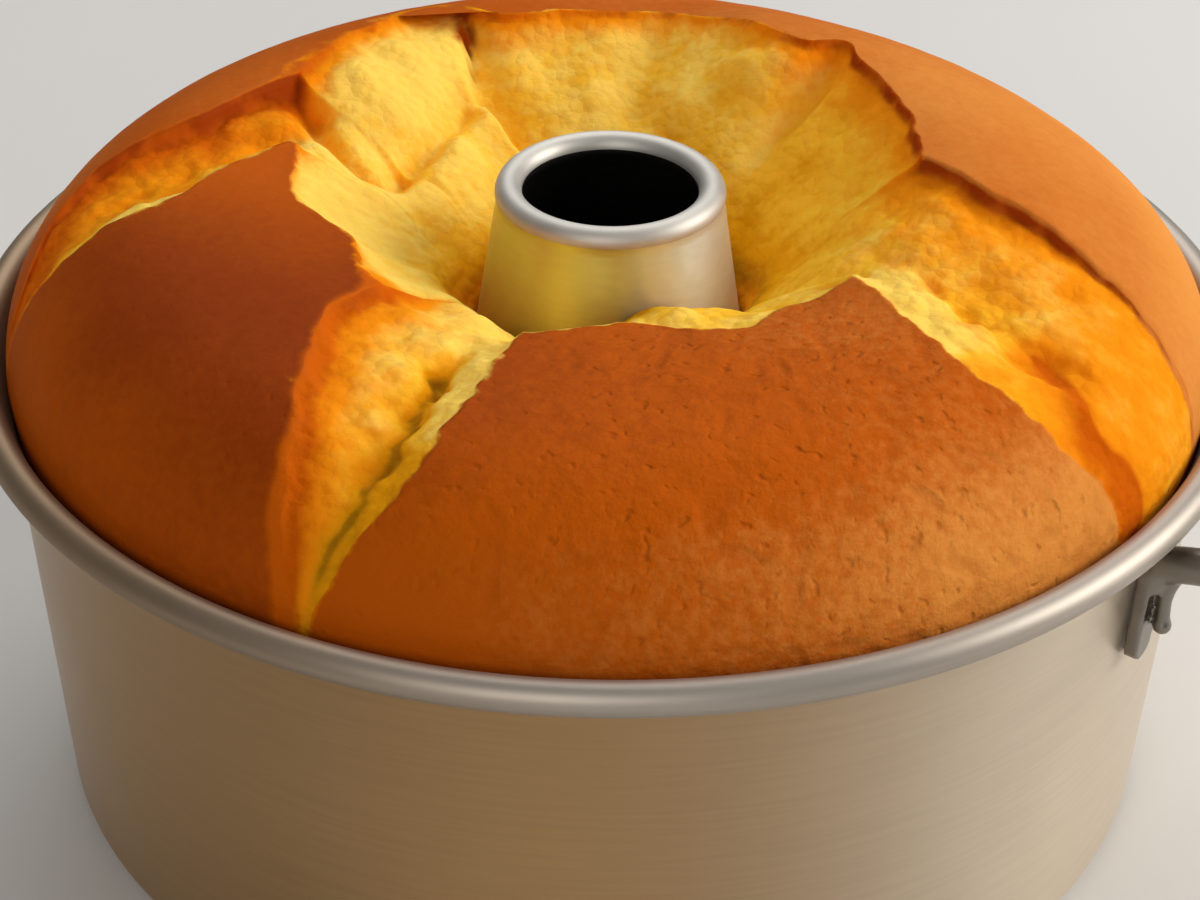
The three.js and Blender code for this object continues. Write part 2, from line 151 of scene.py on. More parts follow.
def fractal(x: Array, y: Array, length: float, octaves: float, shift: float = 0.0) -> Array:
    """Draw smooth uneven relief over places in plan.

    Args:
        x: Places along X.
        y: Places along Y.
        length: The length of the largest waves, in the same units.
        octaves: How many ever finer layers are added.
        shift: Moves the pattern, so that two layers differ.

    Returns:
        Heights of about -1 to 1, in the shape of x.
    """
    flat = [
        noise.fractal(Vector((a / length, b / length, shift)), 0.9, 2.1, octaves)
        for a, b in zip(np.ravel(x), np.ravel(y))
    ]
    return np.array(flat).reshape(np.shape(x))


def creased(x: Array, y: Array, length: float) -> Array:
    """Draw rounded lumps with creases between them.

    Args:
        x: Places along X.
        y: Places along Y.
        length: The size of a lump, in the same units.

    Returns:
        The distance from the middle of the nearest lump as a share of its size, less its mean.
    """
    bend, mean = 0.3 * length, 0.47
    bent = x + np.sin(y / length * 0.7) * bend, y + np.sin(x / length * 0.9) * bend
    flat = [
        noise.voronoi(Vector((a / length, b / length, length)))[0][0]
        for a, b in zip(*map(np.ravel, bent))
    ]
    return np.array(flat).reshape(np.shape(x)) - mean


@dataclass(frozen=True)
class SmoothLine:
    """A smooth line through points with rising x, level beyond both ends."""

    points: Points

    def __call__(self, x: Array | float) -> Array:
        """Return the line's y at each x."""
        xs, ys = np.array(self.points, float).T
        before, after = np.r_[0, : len(xs) - 1], np.r_[1 : len(xs), len(xs) - 1]
        slope = (ys[after] - ys[before]) / (xs[after] - xs[before])
        i = np.clip(np.searchsorted(xs, x, side="right") - 1, 0, len(xs) - 2)
        span = xs[i + 1] - xs[i]
        t = np.clip((x - xs[i]) / span, 0, 1)
        bend = slope[i] * t * (1 - t) ** 2 - slope[i + 1] * t * t * (1 - t)
        return blend(ys[i], ys[i + 1], t * t * (3 - 2 * t)) + bend * span


def ring_mesh(profile: list[tuple[float, float]], steps: int) -> bmesh.types.BMesh:
    """Turn a closed profile about the Z axis.

    Args:
        profile: Points of radius and height, in order round the profile.
        steps: How many columns the ring gets.

    Returns:
        A closed ring, with its faces pointing outwards.
    """
    ring = bmesh.new()
    verts = [ring.verts.new((radius, 0, z)) for radius, z in profile]
    edges = [ring.edges.new(pair) for pair in zip(verts, verts[1:] + verts[:1])]
    bmesh.ops.spin(
        ring, geom=verts + edges, cent=(0, 0, 0), axis=(0, 0, 1), dvec=(0, 0, 0),
        angle=2 * math.pi, steps=steps, use_merge=True, use_duplicate=False,
    )
    bmesh.ops.recalc_face_normals(ring, faces=ring.faces)
    return ring


def add_object(mesh: bmesh.types.BMesh, name: str, finish: bpy.types.Material) -> bpy.types.Object:
    """Put a drawn mesh into the scene with a material, free it, and return the object."""
    data = bpy.data.meshes.new(name)
    mesh.to_mesh(data)
    mesh.free()
    data.materials.append(finish)
    return link_object(name, data)


def link_object(name: str, data: bpy.types.ID) -> bpy.types.Object:
    """Put a mesh, light or camera into the scene, and return the object."""
    thing = bpy.data.objects.new(name, data)
    bpy.context.collection.objects.link(thing)
    return thing


def finish_piece(
    mesh: bmesh.types.BMesh, name: str, finish: bpy.types.Material, slot: str, *nodes: str
) -> bpy.types.Object:
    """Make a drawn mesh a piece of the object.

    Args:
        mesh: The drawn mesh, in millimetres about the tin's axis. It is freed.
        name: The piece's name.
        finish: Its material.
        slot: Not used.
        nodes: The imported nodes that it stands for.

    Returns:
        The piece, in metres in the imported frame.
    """
    bmesh.ops.scale(mesh, vec=(MM, MM, MM), verts=mesh.verts)
    bmesh.ops.translate(mesh, vec=tin_axis(), verts=mesh.verts)
    piece = add_object(mesh, name, finish)
    piece.data.shade_smooth()
    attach(piece, BODY)
    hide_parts(*nodes)
    log.info("%s: %d faces", name, len(piece.data.polygons))
    return piece


# ---------------------------------------------------------------- shader helpers


class Bench:
    """Adds and links the nodes of one material or node group."""

    def __init__(self, tree: bpy.types.NodeTree) -> None:
        """Start on a tree."""
        self.tree = tree

    def feed(self, node: bpy.types.Node, inputs: dict[str | int, Value]) -> None:
        """Set a node's inputs, by name or number, to values or sockets."""
        for name, value in inputs.items():
            socket = node.inputs[name]
            if isinstance(value, Socket):
                self.tree.links.new(value, socket)
            else:
                socket.default_value = (*value, 1.0) if socket.type == "RGBA" else value

    def add(
        self, kind: str, inputs: dict[str | int, Value] | None = None, **settings: str | bpy.types.NodeTree
    ) -> bpy.types.Node:
        """Add a node.

        Args:
            kind: The node's type, without the word ShaderNode.
            inputs: Values or sockets for its inputs, by name or number.
            settings: Values for its own properties.

        Returns:
            The node.
        """
        node = self.tree.nodes.new("ShaderNode" + kind)
        for name, value in settings.items():
            setattr(node, name, value)
        self.feed(node, inputs or {})
        return node

    def math(self, operation: str, *values: Value) -> Socket:
        """Add a Math node on up to three values or sockets, and return its output."""
        return self.add("Math", dict(enumerate(values)), operation=operation).outputs[0]

    def chain(self, operation: str, first: Value, *others: Value) -> Value:
        """Work one value or socket after another into the first, and return the result."""
        for other in others:
            first = self.math(operation, first, other)
        return first

    def vector(self, operation: str, *values: Value, output: str = "Vector") -> Socket:
        """Add a Vector Math node on one or two vectors, and return the named output."""
        return self.add("VectorMath", dict(enumerate(values)), operation=operation).outputs[output]

    def span(self, value: Socket, low: float, high: float, start: float = 0.0, end: float = 1.0) -> Socket:
        """Map a socket smoothly from low..high to start..end, and return the output."""
        inputs = {"Value": value, "From Min": low, "From Max": high, "To Min": start, "To Max": end}
        return self.add("MapRange", inputs, interpolation_type="SMOOTHSTEP").outputs["Result"]

    def mix(self, share: Value, first: Value, second: Value, mode: str = "MIX") -> Socket:
        """Mix two colours by a share of the second, and return the output."""
        inputs = {0: share, 6: first, 7: second}
        return self.add("Mix", inputs, data_type="RGBA", blend_type=mode).outputs[2]

    def noise(self, vector: Socket, scale: float, detail: float = 2.0, roughness: float = 0.5) -> Socket:
        """Add a noise texture, with its scale in waves per metre, and return its value."""
        inputs = {"Vector": vector, "Scale": scale, "Detail": detail, "Roughness": roughness}
        return self.add("TexNoise", inputs).outputs["Fac"]

    def mottle(
        self, vector: Socket, scale: float, detail: float, roughness: float, start: float, end: float
    ) -> Socket:
        """Add a noise texture and spread the middle of its range smoothly over start..end."""
        return self.span(self.noise(vector, scale, detail, roughness), 0.3, 0.7, start, end)

    def attribute(self, name: str) -> Socket:
        """Read one of the mesh's own attributes."""
        return self.add("Attribute", attribute_name=name).outputs["Fac"]

    def place(self) -> Socket:
        """Read the place on the object, in metres."""
        return self.add("TexCoord").outputs["Object"]

    def from_axis(self) -> Socket:
        """Read the place on the object from the foot of the tin's axis, in metres."""
        return self.vector("SUBTRACT", self.place(), tuple(tin_axis()))


def new_material(name: str) -> tuple[Bench, bpy.types.Node, bpy.types.Material]:
    """Start a material.

    Args:
        name: The material's name.

    Returns:
        Its bench, its Principled shader and the material.
    """
    material = bpy.data.materials.new(name)
    material.use_nodes = True
    bench = Bench(material.node_tree)
    return bench, material.node_tree.nodes["Principled BSDF"], material


# ---------------------------------------------------------------- finishes


@dataclass(frozen=True)
class CakeFinish:
    """Baked crust over torn crumb, told apart by the attributes that the cake's mesh carries."""

    crust_dark: Colour = (0.240, 0.032, 0.001)
    crust_brown: Colour = (0.480, 0.086, 0.001)
    crust_gold: Colour = (0.700, 0.262, 0.046)
    # The crumb's pale, yellow and deep colours, with the darkest crumb colour below, are a ramp of painted
    # light and shade: pale where lit, deeper where shade falls.
    crumb_pale: Colour = (0.975, 0.590, 0.095)
    crumb_yellow: Colour = (0.940, 0.455, 0.022)
    crumb_deep_shade: Colour = (0.780, 0.310, 0.003)
    amber: Colour = (0.860, 0.260, 0.004)
    russet: Colour = (0.560, 0.100, 0.001)
    # Scorched crust, also used as the painted shadow under an overhanging plate's edge.
    scorched_and_shadowed: Colour = (0.320, 0.042, 0.001)
    # The darkest crumb colour: painted shade in pits and in the pocket beside the tube.
    crumb_pit_shade: Colour = (0.380, 0.155, 0.002)
    # Painted shade in the crust's dents.
    dent_shade: Colour = (0.300, 0.040, 0.001)
    ragged: float = 2.2  # how far the crust's torn edge wanders, in mm
    edge: float = 0.8  # how soft that edge is, in mm
    crust_rough: float = 0.68
    crumb_rough: float = 0.98
    refraction: float = 1.25
    sheen: float = 0.12
    glow: float = 0.5  # how much light scatters inside bare crumb
    glow_hue: Triple = (1.0, 0.5, 0.1)
    glow_depth: float = 0.005  # in metres
    relief_depth: float = 0.0009  # in metres
    dent_kinds: tuple[tuple[Triple, float, float], ...] = (
        ((0.4, 1.0, 1.0), 150, 0.45), ((1.0, 0.4, 0.8), 130, 0.45), ((1.0, 1.0, 1.0), 330, 0.40),
    )  # how each kind is stretched, its scale, and the noise below which it dents

    def material(self) -> bpy.types.Material:
        """Build the material.

        Returns:
            The material, which reads the attributes tear, bake, warm, scorch, sunk and worn. Bake is partly
            painted shade, scorch partly painted shadow, and sunk paints light and shade on the crumb.
        """
        bench, shader, material = new_material("cake_crust_and_crumb")
        place = bench.place()
        pores = bench.noise(place, 230, 4, 0.6)
        dents = self.dents(bench, place)
        wander = bench.noise(place, 180, 4, 0.55)
        jag = bench.math("MULTIPLY_ADD", wander, 2 * self.ragged, -self.ragged)
        crust_share = bench.span(bench.math("ADD", bench.attribute("tear"), jag), -self.edge, self.edge)
        warm = bench.math("ADD", bench.attribute("warm"), bench.mottle(place, 120, 3, 0.55, -0.14, 0.14))
        crumb = bench.mix(bench.span(warm, 0.1, 0.75), self.crumb_colour(bench, place, pores), self.amber)
        colour = bench.mix(crust_share, crumb, self.crust_colour(bench, place, dents))
        colour = bench.mix(bench.span(warm, 0.65, 1.35), colour, self.russet)
        # Darkens scorched crust edges, the painted shadow under overhanging plates and the dark spots,
        # mottled.
        edge_darkening = bench.math("MULTIPLY", bench.attribute("scorch_and_shadow"), bench.mottle(place, 130, 2, 0.5, 0.6, 1.3))
        rougher = self.crust_rough - self.crumb_rough
        bench.feed(shader, {
            "Base Color": bench.mix(bench.span(edge_darkening, 0.15, 0.95), colour, self.scorched_and_shadowed),
            "Roughness": bench.math("MULTIPLY_ADD", crust_share, rougher, self.crumb_rough),
            "Normal": self.relief(bench, place, pores, dents, crust_share),
            "IOR": self.refraction,
            "Specular IOR Level": self.sheen,
            "Subsurface Weight": bench.math("MULTIPLY_ADD", crust_share, -self.glow, self.glow),
            "Subsurface Radius": self.glow_hue,
            "Subsurface Scale": self.glow_depth,
        })
        return material

    def dents(self, bench: Bench, place: Socket) -> Socket:
        """Scatter short creases and pinholes over the worn parts of the crust, as a mask."""
        soft = 0.22
        masks = [
            bench.span(bench.noise(bench.vector("MULTIPLY", place, stretch), scale, 1, 0.5), low, low - soft)
            for stretch, scale, low in self.dent_kinds
        ]
        return bench.math("MULTIPLY", bench.chain("MAXIMUM", *masks), bench.attribute("worn"))

    def crust_colour(self, bench: Bench, place: Socket, dents: Socket) -> Socket:
        """Mottle the crust from gold to dark brown by how browned each part is, partly real baking and partly
        painted shade on the side away from the window, and darken its dents with painted shade.

        Args:
            bench: The material's bench.
            place: The place on the object.
            dents: The mask of the crust's dents.

        Returns:
            The colour.
        """
        broad = bench.mottle(place, 16, 3, 0.55, -0.06, 0.06)
        grain = bench.mottle(place, 420, 4, 0.65, -0.06, 0.06)
        fine = bench.math("MULTIPLY", grain, bench.math("MULTIPLY_ADD", bench.attribute("worn"), 0.7, 0.3))
        level = bench.chain("ADD", bench.attribute("bake_and_shade"), broad, fine)
        colour = bench.mix(bench.span(level, 0.0, 0.5), self.crust_gold, self.crust_brown)
        colour = bench.mix(bench.span(level, 0.5, 1.0), colour, self.crust_dark)
        # The dents are darkened with painted shade.
        return bench.mix(bench.math("MULTIPLY", dents, 0.15), colour, self.dent_shade)

    def crumb_colour(self, bench: Bench, place: Socket, pores: Socket) -> Socket:
        """Paint light and shade on the crumb: pale on lit crests, deeper in folds, pores and pits where shade
        falls, with random mottling.

        Args:
            bench: The material's bench.
            place: The place on the object.
            pores: The noise of the crumb's pores.

        Returns:
            The colour.
        """
        patch = bench.mottle(place, 75, 3, 0.5, -0.12, 0.12)
        sunk = bench.chain("ADD", bench.span(pores, 0.32, 0.68, 0.22, -0.17), patch, bench.attribute("sunk"))
        # Low sunk gives the pale of lit crests, high sunk the deeper colours of shaded folds and pits:
        # painted light and shade.
        colour = bench.mix(bench.span(sunk, -0.3, 0.45), self.crumb_pale, self.crumb_yellow)
        colour = bench.mix(bench.span(sunk, 0.4, 1.2), colour, self.crumb_deep_shade)
        return bench.mix(bench.span(sunk, 1.2, 2.4), colour, self.crumb_pit_shade)

    def relief(
        self, bench: Bench, place: Socket, pores: Socket, dents: Socket, crust_share: Socket
    ) -> Socket:
        """Pit the crust finely and open the crumb's pores.

        Args:
            bench: The material's bench.
            place: The place on the object.
            pores: The noise of the crumb's pores.
            dents: The mask of the crust's dents.
            crust_share: How much crust there is, from 0 on bare crumb to 1.

        Returns:
            The normal.
        """
        pebbles = bench.add("TexVoronoi", {"Vector": place, "Scale": 340.0}, feature="F1").outputs["Distance"]
        crumb = bench.math("MULTIPLY_ADD", pores, 1.4, bench.math("MULTIPLY", pebbles, -1.2))
        folds = bench.noise(place, 110, 3, 0.6)
        wrinkles = bench.math("MULTIPLY_ADD", bench.noise(place, 330, 4, 0.65), 0.75, folds)
        calm = bench.math("ADD", bench.attribute("worn"), 0.3)
        crust = bench.math("MULTIPLY_ADD", dents, -0.8, bench.math("MULTIPLY", wrinkles, calm))
        height = bench.add("Mix", {0: crust_share, 2: crumb, 3: crust}, data_type="FLOAT").outputs[0]
        bump = bench.add("Bump", {"Strength": 0.6, "Distance": self.relief_depth, "Height": height})
        return bump.outputs["Normal"]


def spun_grain_group() -> bpy.types.NodeTree:
    """Build the fine lines that spinning and handling leave round the tin's axis.

    Returns:
        A node group with the inputs Reach, Fineness, Wear and Roughness, and the outputs Tone,
        Roughness and Normal.
    """
    group = bpy.data.node_groups.new("spun_grain", "ShaderNodeTree")
    for name, value in (("Reach", 5.0), ("Fineness", 900.0), ("Wear", 0.5), ("Roughness", 0.4)):
        socket = group.interface.new_socket(name, in_out="INPUT", socket_type="NodeSocketFloat")
        socket.default_value = value
    for name, kind in (("Tone", "Float"), ("Roughness", "Float"), ("Normal", "Vector")):
        group.interface.new_socket(name, in_out="OUTPUT", socket_type="NodeSocket" + kind)
    bench = Bench(group)
    given = group.nodes.new("NodeGroupInput").outputs
    centred = bench.from_axis()
    parts = bench.add("SeparateXYZ", {0: centred}).outputs
    squares = [bench.math("MULTIPLY", part, part) for part in parts[:2]]
    radius = bench.math("SQRT", bench.math("ADD", *squares))
    divisor = bench.math("MAXIMUM", radius, MM)
    lines_at = bench.add("CombineXYZ", {
        0: bench.math("MULTIPLY", bench.math("DIVIDE", parts[0], divisor), given["Reach"]),
        1: bench.math("MULTIPLY", bench.math("DIVIDE", parts[1], divisor), given["Reach"]),
        2: bench.math("MULTIPLY", bench.math("ADD", parts[2], radius), given["Fineness"]),
    }).outputs[0]
    lines = bench.noise(lines_at, 1.0, 1, 0.4)
    smudge = bench.noise(centred, 18, 4, 0.6)
    scuff = bench.span(bench.noise(lines_at, 0.35, 2, 0.5), 0.62, 0.72)
    scuffs = bench.chain("MULTIPLY", scuff, bench.span(smudge, 0.45, 0.65), given["Wear"])
    haze = bench.span(smudge, 0.3, 0.7, -0.03, 0.03)
    streak = bench.span(lines, 0.3, 0.7, -0.01, 0.01)
    bump = bench.add("Bump", {"Strength": 0.1, "Distance": 0.00006, "Height": lines})
    bench.feed(group.nodes.new("NodeGroupOutput"), {
        "Tone": bench.math("MULTIPLY_ADD", scuffs, 0.4, bench.span(lines, 0.25, 0.75, 0.35, 0.65)),
        "Roughness": bench.chain("ADD", haze, streak, given["Roughness"]),
        "Normal": bump.outputs["Normal"],
    })
    return group


@dataclass(frozen=True)
class AluminiumFinish:
    """Aluminium with a spun grain, light wear and, where given, a painted reflection on one side."""

    name: str
    bright: Colour
    dull: Colour
    roughness: float
    reach: float = 5.0
    fineness: float = 900.0
    wear: float = 0.5
    anisotropy: float = 0.75
    grain_turn: float = 0.25  # the turn of the highlight's direction
    metal: float = 1.0
    painted_reflection: Colour | None = None  # the tone that one side is tinted to, a painted reflection
    painted_reflection_side: float = -115.0  # the azimuth of that side
    painted_reflection_from: float = 0.3  # the cosine from that side where the painted reflection starts
    painted_reflection_full: float = 0.95  # the cosine where it is whole

    def material(self, grain: bpy.types.NodeTree) -> bpy.types.Material:
        """Build the material.

        Args:
            grain: The shared group of spun lines.

        Returns:
            The material.
        """
        bench, shader, material = new_material(self.name)
        wanted = {
            "Reach": self.reach, "Fineness": self.fineness, "Wear": self.wear, "Roughness": self.roughness,
        }
        lines = bench.add("Group", wanted, node_tree=grain).outputs
        colour = bench.mix(lines["Tone"], self.dull, self.bright)
        # Painted reflection: one side is tinted by what it would reflect, brown surroundings on the tin's
        # wall and rim, the yellow crumb on the tube.
        if self.painted_reflection:
            turn = math.radians(self.painted_reflection_side)
            outward = bench.vector("NORMALIZE", bench.vector("MULTIPLY", bench.from_axis(), (1.0, 1.0, 0.0)))
            towards = (math.cos(turn), math.sin(turn), 0.0)
            facing = bench.vector("DOT_PRODUCT", outward, towards, output="Value")
            reflection_tinted = bench.mix(1.0, colour, self.painted_reflection, "MULTIPLY")
            colour = bench.mix(bench.span(facing, self.painted_reflection_from, self.painted_reflection_full), colour, reflection_tinted)
        bench.feed(shader, {
            "Base Color": colour, "Roughness": lines["Roughness"], "Normal": lines["Normal"],
            "Metallic": self.metal, "Anisotropic": self.anisotropy,
            "Anisotropic Rotation": self.grain_turn,
        })
        return material


# ---------------------------------------------------------------- the tin


@dataclass(frozen=True)
class TinWall:
    """The tapered wall with its ledge, rounded foot and rolled rim, in mm."""

    rim_radius: float = 133.88
    bead_radius: float = 3.4
    bead_height: float = 100.0
    top: float = 126.0
    foot: float = 119.0
    foot_round: float = 5.0
    ledge_inner: float = 104.0
    sheet: float = 0.8
    gap: float = 0.35
    shoulder_gap: float = 1.5  # how far the wall ends below the rolled rim's own circle
    rim_margin: float = 0.5  # how far inside the wall's top the rolled rim's finish starts
    columns: int = 320

    @property
    def shoulder(self) -> float:
        """Return the height where the wall turns out into the rolled rim."""
        return self.bead_height - self.bead_radius - self.shoulder_gap

    def outside(self, z: Array | float) -> Array:
        """Return the outside radius of the wall at a height."""
        climb = (z - self.foot_round) / (self.bead_height - self.bead_radius - self.foot_round)
        return blend(self.foot, self.top, np.clip(climb, 0, 1))

    def profile(self) -> list[tuple[float, float]]:
        """Return the closed profile as points of radius and height."""
        corner = (self.foot - self.foot_round, self.foot_round)
        bead = (self.rim_radius - self.bead_radius, self.bead_height)
        outside = float(self.outside(self.shoulder))
        return [
            (self.ledge_inner, 0.0),
            *arc(corner, self.foot_round, -90, 0, 8),
            (float(self.outside(50.0)), 50.0),
            (outside, self.shoulder),
            *arc(bead, self.bead_radius, -150, 165, 26),
            (outside - self.sheet, self.shoulder),
            *arc(corner, self.foot_round - self.sheet, 0, -90, 8),
            (self.ledge_inner, self.sheet),
        ]

    def build(self, finish: bpy.types.Material, rim: bpy.types.Material) -> bpy.types.Object:
        """Build the wall.

        Args:
            finish: The material of the wall.
            rim: The material of its rolled rim.

        Returns:
            The piece.
        """
        mesh = ring_mesh(self.profile(), self.columns)
        for face in mesh.faces:
            centre = face.calc_center_median()
            outer = centre.xy.length > self.top - self.rim_margin
            face.material_index = int(centre.z > self.shoulder and outer)
        piece = finish_piece(mesh, "tin_wall_spun", finish, "tin_aluminium", "tin_wall")
        piece.data.materials.append(rim)
        return piece


@dataclass(frozen=True)
class TubeBase:
    """The loose base with its flared tube and rolled lip, in mm."""

    lip_radius: float = 21.0
    lip_roll: float = 2.8
    lip_height: float = 131.7
    neck: float = 23.7
    neck_height: float = 128.8
    waist: float = 28.0
    foot: float = 38.0
    fillet: float = 1.5
    base_radius: float = 113.5
    base_sheet: float = 1.0
    under_lip: tuple[float, float] = (1.0, 1.5)  # how far in and below the neck the bore ends
    bore_margin: float = 0.2  # how far inside the tube's outside the bore's finish starts
    lip_margin: float = 0.6  # how far below the lip's middle its own finish starts
    columns: int = 224

    def outside(self, z: Array | float, rim: float) -> Array:
        """Return the outside radius of the tube at a height, given the height of the rim."""
        upper = blend(self.waist, self.neck, (z - rim) / (self.neck_height - rim))
        lower = blend(self.foot, self.waist, z / rim)
        return np.where(np.asarray(z) > rim, upper, lower)

    def profile(self, wall: TinWall) -> list[tuple[float, float]]:
        """Return the closed profile as points of radius and height."""
        under = wall.sheet + wall.gap
        top = under + self.base_sheet
        foot = top + self.fillet
        sheet = wall.sheet
        radius = float(self.outside(foot, wall.bead_height))
        lip = (self.lip_radius, self.lip_height)
        return [
            (self.base_radius, under),
            (self.base_radius, top),
            (self.foot + self.fillet, top),
            (radius, foot),
            (self.waist, wall.bead_height),
            (self.neck, self.neck_height),
            *arc(lip, self.lip_roll, -25, 245, 24),
            (self.neck - sheet - self.under_lip[0], self.neck_height - self.under_lip[1]),
            (self.waist - sheet, wall.bead_height),
            (radius - sheet, foot),
            (self.foot + self.fillet - sheet, under),
        ]

    def build(
        self, wall: TinWall, finish: bpy.types.Material, inner: bpy.types.Material, rim: bpy.types.Material
    ) -> bpy.types.Object:
        """Build the base and its tube.

        Args:
            wall: The wall that it stands in.
            finish: The material of its outside.
            inner: The material of its bore, painted near black as the shade inside the tube.
            rim: The material of its rolled lip.

        Returns:
            The piece.
        """
        mesh = ring_mesh(self.profile(wall), self.columns)
        for face in mesh.faces:
            centre = face.calc_center_median()
            bore = float(self.outside(centre.z, wall.bead_height)) - self.bore_margin
            inside = centre.xy.length < bore and centre.z < self.lip_height
            face.material_index = 1 if inside else 2 * (centre.z > self.lip_height - self.lip_margin)
        piece = finish_piece(mesh, "tube_spun", finish, "tube_aluminium", "tube_base")
        for other in (inner, rim):
            piece.data.materials.append(other)
        return piece


def arc(
    centre: tuple[float, float], radius: float, start: float, end: float, steps: int
) -> list[tuple[float, float]]:
    """Return points along an arc.

    Args:
        centre: The arc's centre.
        radius: Its radius.
        start: The angle it starts at, in degrees.
        end: The angle it ends at.
        steps: How many chords it has.

    Returns:
        The points, from start to end.
    """
    angles = np.radians(np.linspace(start, end, steps + 1))
    return [(centre[0] + radius * math.cos(a), centre[1] + radius * math.sin(a)) for a in angles]


# ---------------------------------------------------------------- the cake


@dataclass(frozen=True)
class Crack:
    """A tear between two plates of crust, from the low plate at 0 across to the high one at 1.

    Its sections give the depth below the dome across the tear, each at a share of the way out.
    """

    low: SmoothLine
    high: SmoothLine
    sections: tuple[tuple[float, SmoothLine], ...]
    valley_at: float  # where the valley runs across the tear
    valley_width: float = 0.07
    warm: float = 0.1  # how browned the crumb is all over
    glow: float = 0.8  # how much more browned it is under the high plate
    glow_reach: float = 9.0
    # How dark the high plate's edge is: partly scorched crust, partly painted shadow under its overhang.
    scorch_and_shadow: float = 0.0  # how dark the high plate's own edge is
    scorch_and_shadow_reach: float = 2.2
    soft: float = 1.0  # below 1, the crust ends softly on the high side
    step_at: float = 0.0  # where a skinned step runs at the funnel, or 0 for none
    step_end: float = 0.0  # where it runs at the rim
    step_warm: float = 0.66
    browned_from: float = 0.55  # the share of the way out where the crumb turns to crust
    fading: float = 14.0  # how far the browning runs down into the funnel
    rough: float = 1.0
    pitted: float = 1.0
    pale_to: float = 0.9  # the share of the way out that stays pale beside the low plate

    def depth(self, side: Array, share: Array) -> Array:
        """Return the depth below the dome, in mm.

        Args:
            side: The place across the crack, from the low plate to the high one.
            share: The share of the way out to the rim.

        Returns:
            The depth.
        """
        stops = [stop for stop, _ in self.sections]
        depths = [line(side) for _, line in self.sections]
        result = depths[0]
        for start, end, deep in zip(stops, stops[1:], depths[1:]):
            result = blend(result, deep, smoothstep(start, end, share))
        return result * (1 - share**4)


@dataclass(frozen=True)
class Ledge:
    """A sharp step in the crumb along points of radius and azimuth, recessed on the line's left."""

    line: Points
    depth: float
    reach: float
    lip: float
    lip_reach: float = 9.0
    sharp: float = 1.2  # half the width of the step itself

    def relief(self, x: Array, y: Array) -> Array:
        """Return how deep the step lies at each place."""
        _, signed = off_line(self.line, x, y)
        sunk = self.depth * fading(np.abs(signed), self.reach)
        raised = -self.lip * fading(np.abs(signed), self.lip_reach)
        return blend(raised, sunk, smoothstep(-self.sharp, self.sharp, signed))


Line = Callable[[Array], Array]


@dataclass(frozen=True)
class Sector:
    """A part of the cake's top between two lines that run from the funnel out to the rim."""

    start: Line
    end: Line
    columns: int
    crack: Crack | None = None
    flipped: bool = False
    soft: tuple[float, float] = (1.0, 1.0)
    high: tuple[bool, bool] = (False, False)

    def across(self, rows: Array) -> Array:
        """Return each column's place across the sector, in the shape of columns by rows."""
        return (np.arange(self.columns) / self.columns)[:, None] + 0 * rows[None, :]

    def side(self, across: Array, share: Array) -> Array:
        """Return the wavy place across a crack, from its low plate to its high one."""
        side = 1 - across if self.flipped else across
        broad = 0.022 * np.sin(17 * share + 5 * side) * np.sin(5 * share + 1)
        return side + (broad + 0.012 * np.sin(37 * share + 1)) * 4 * side * (1 - side)


@dataclass(frozen=True)
class Fold:
    """A fold or crest in the crumb along points of radius and azimuth."""

    line: Points
    depth: float
    width: float

    def relief(self, x: Array, y: Array) -> Array:
        """Return how deep the fold lies at each place."""
        away, _ = off_line(self.line, x, y)
        return self.depth * bell(away, self.width)


LAYERS = ("x", "y", "z", "tear", "bake_and_shade", "warm", "scorch_and_shadow", "sunk", "worn")


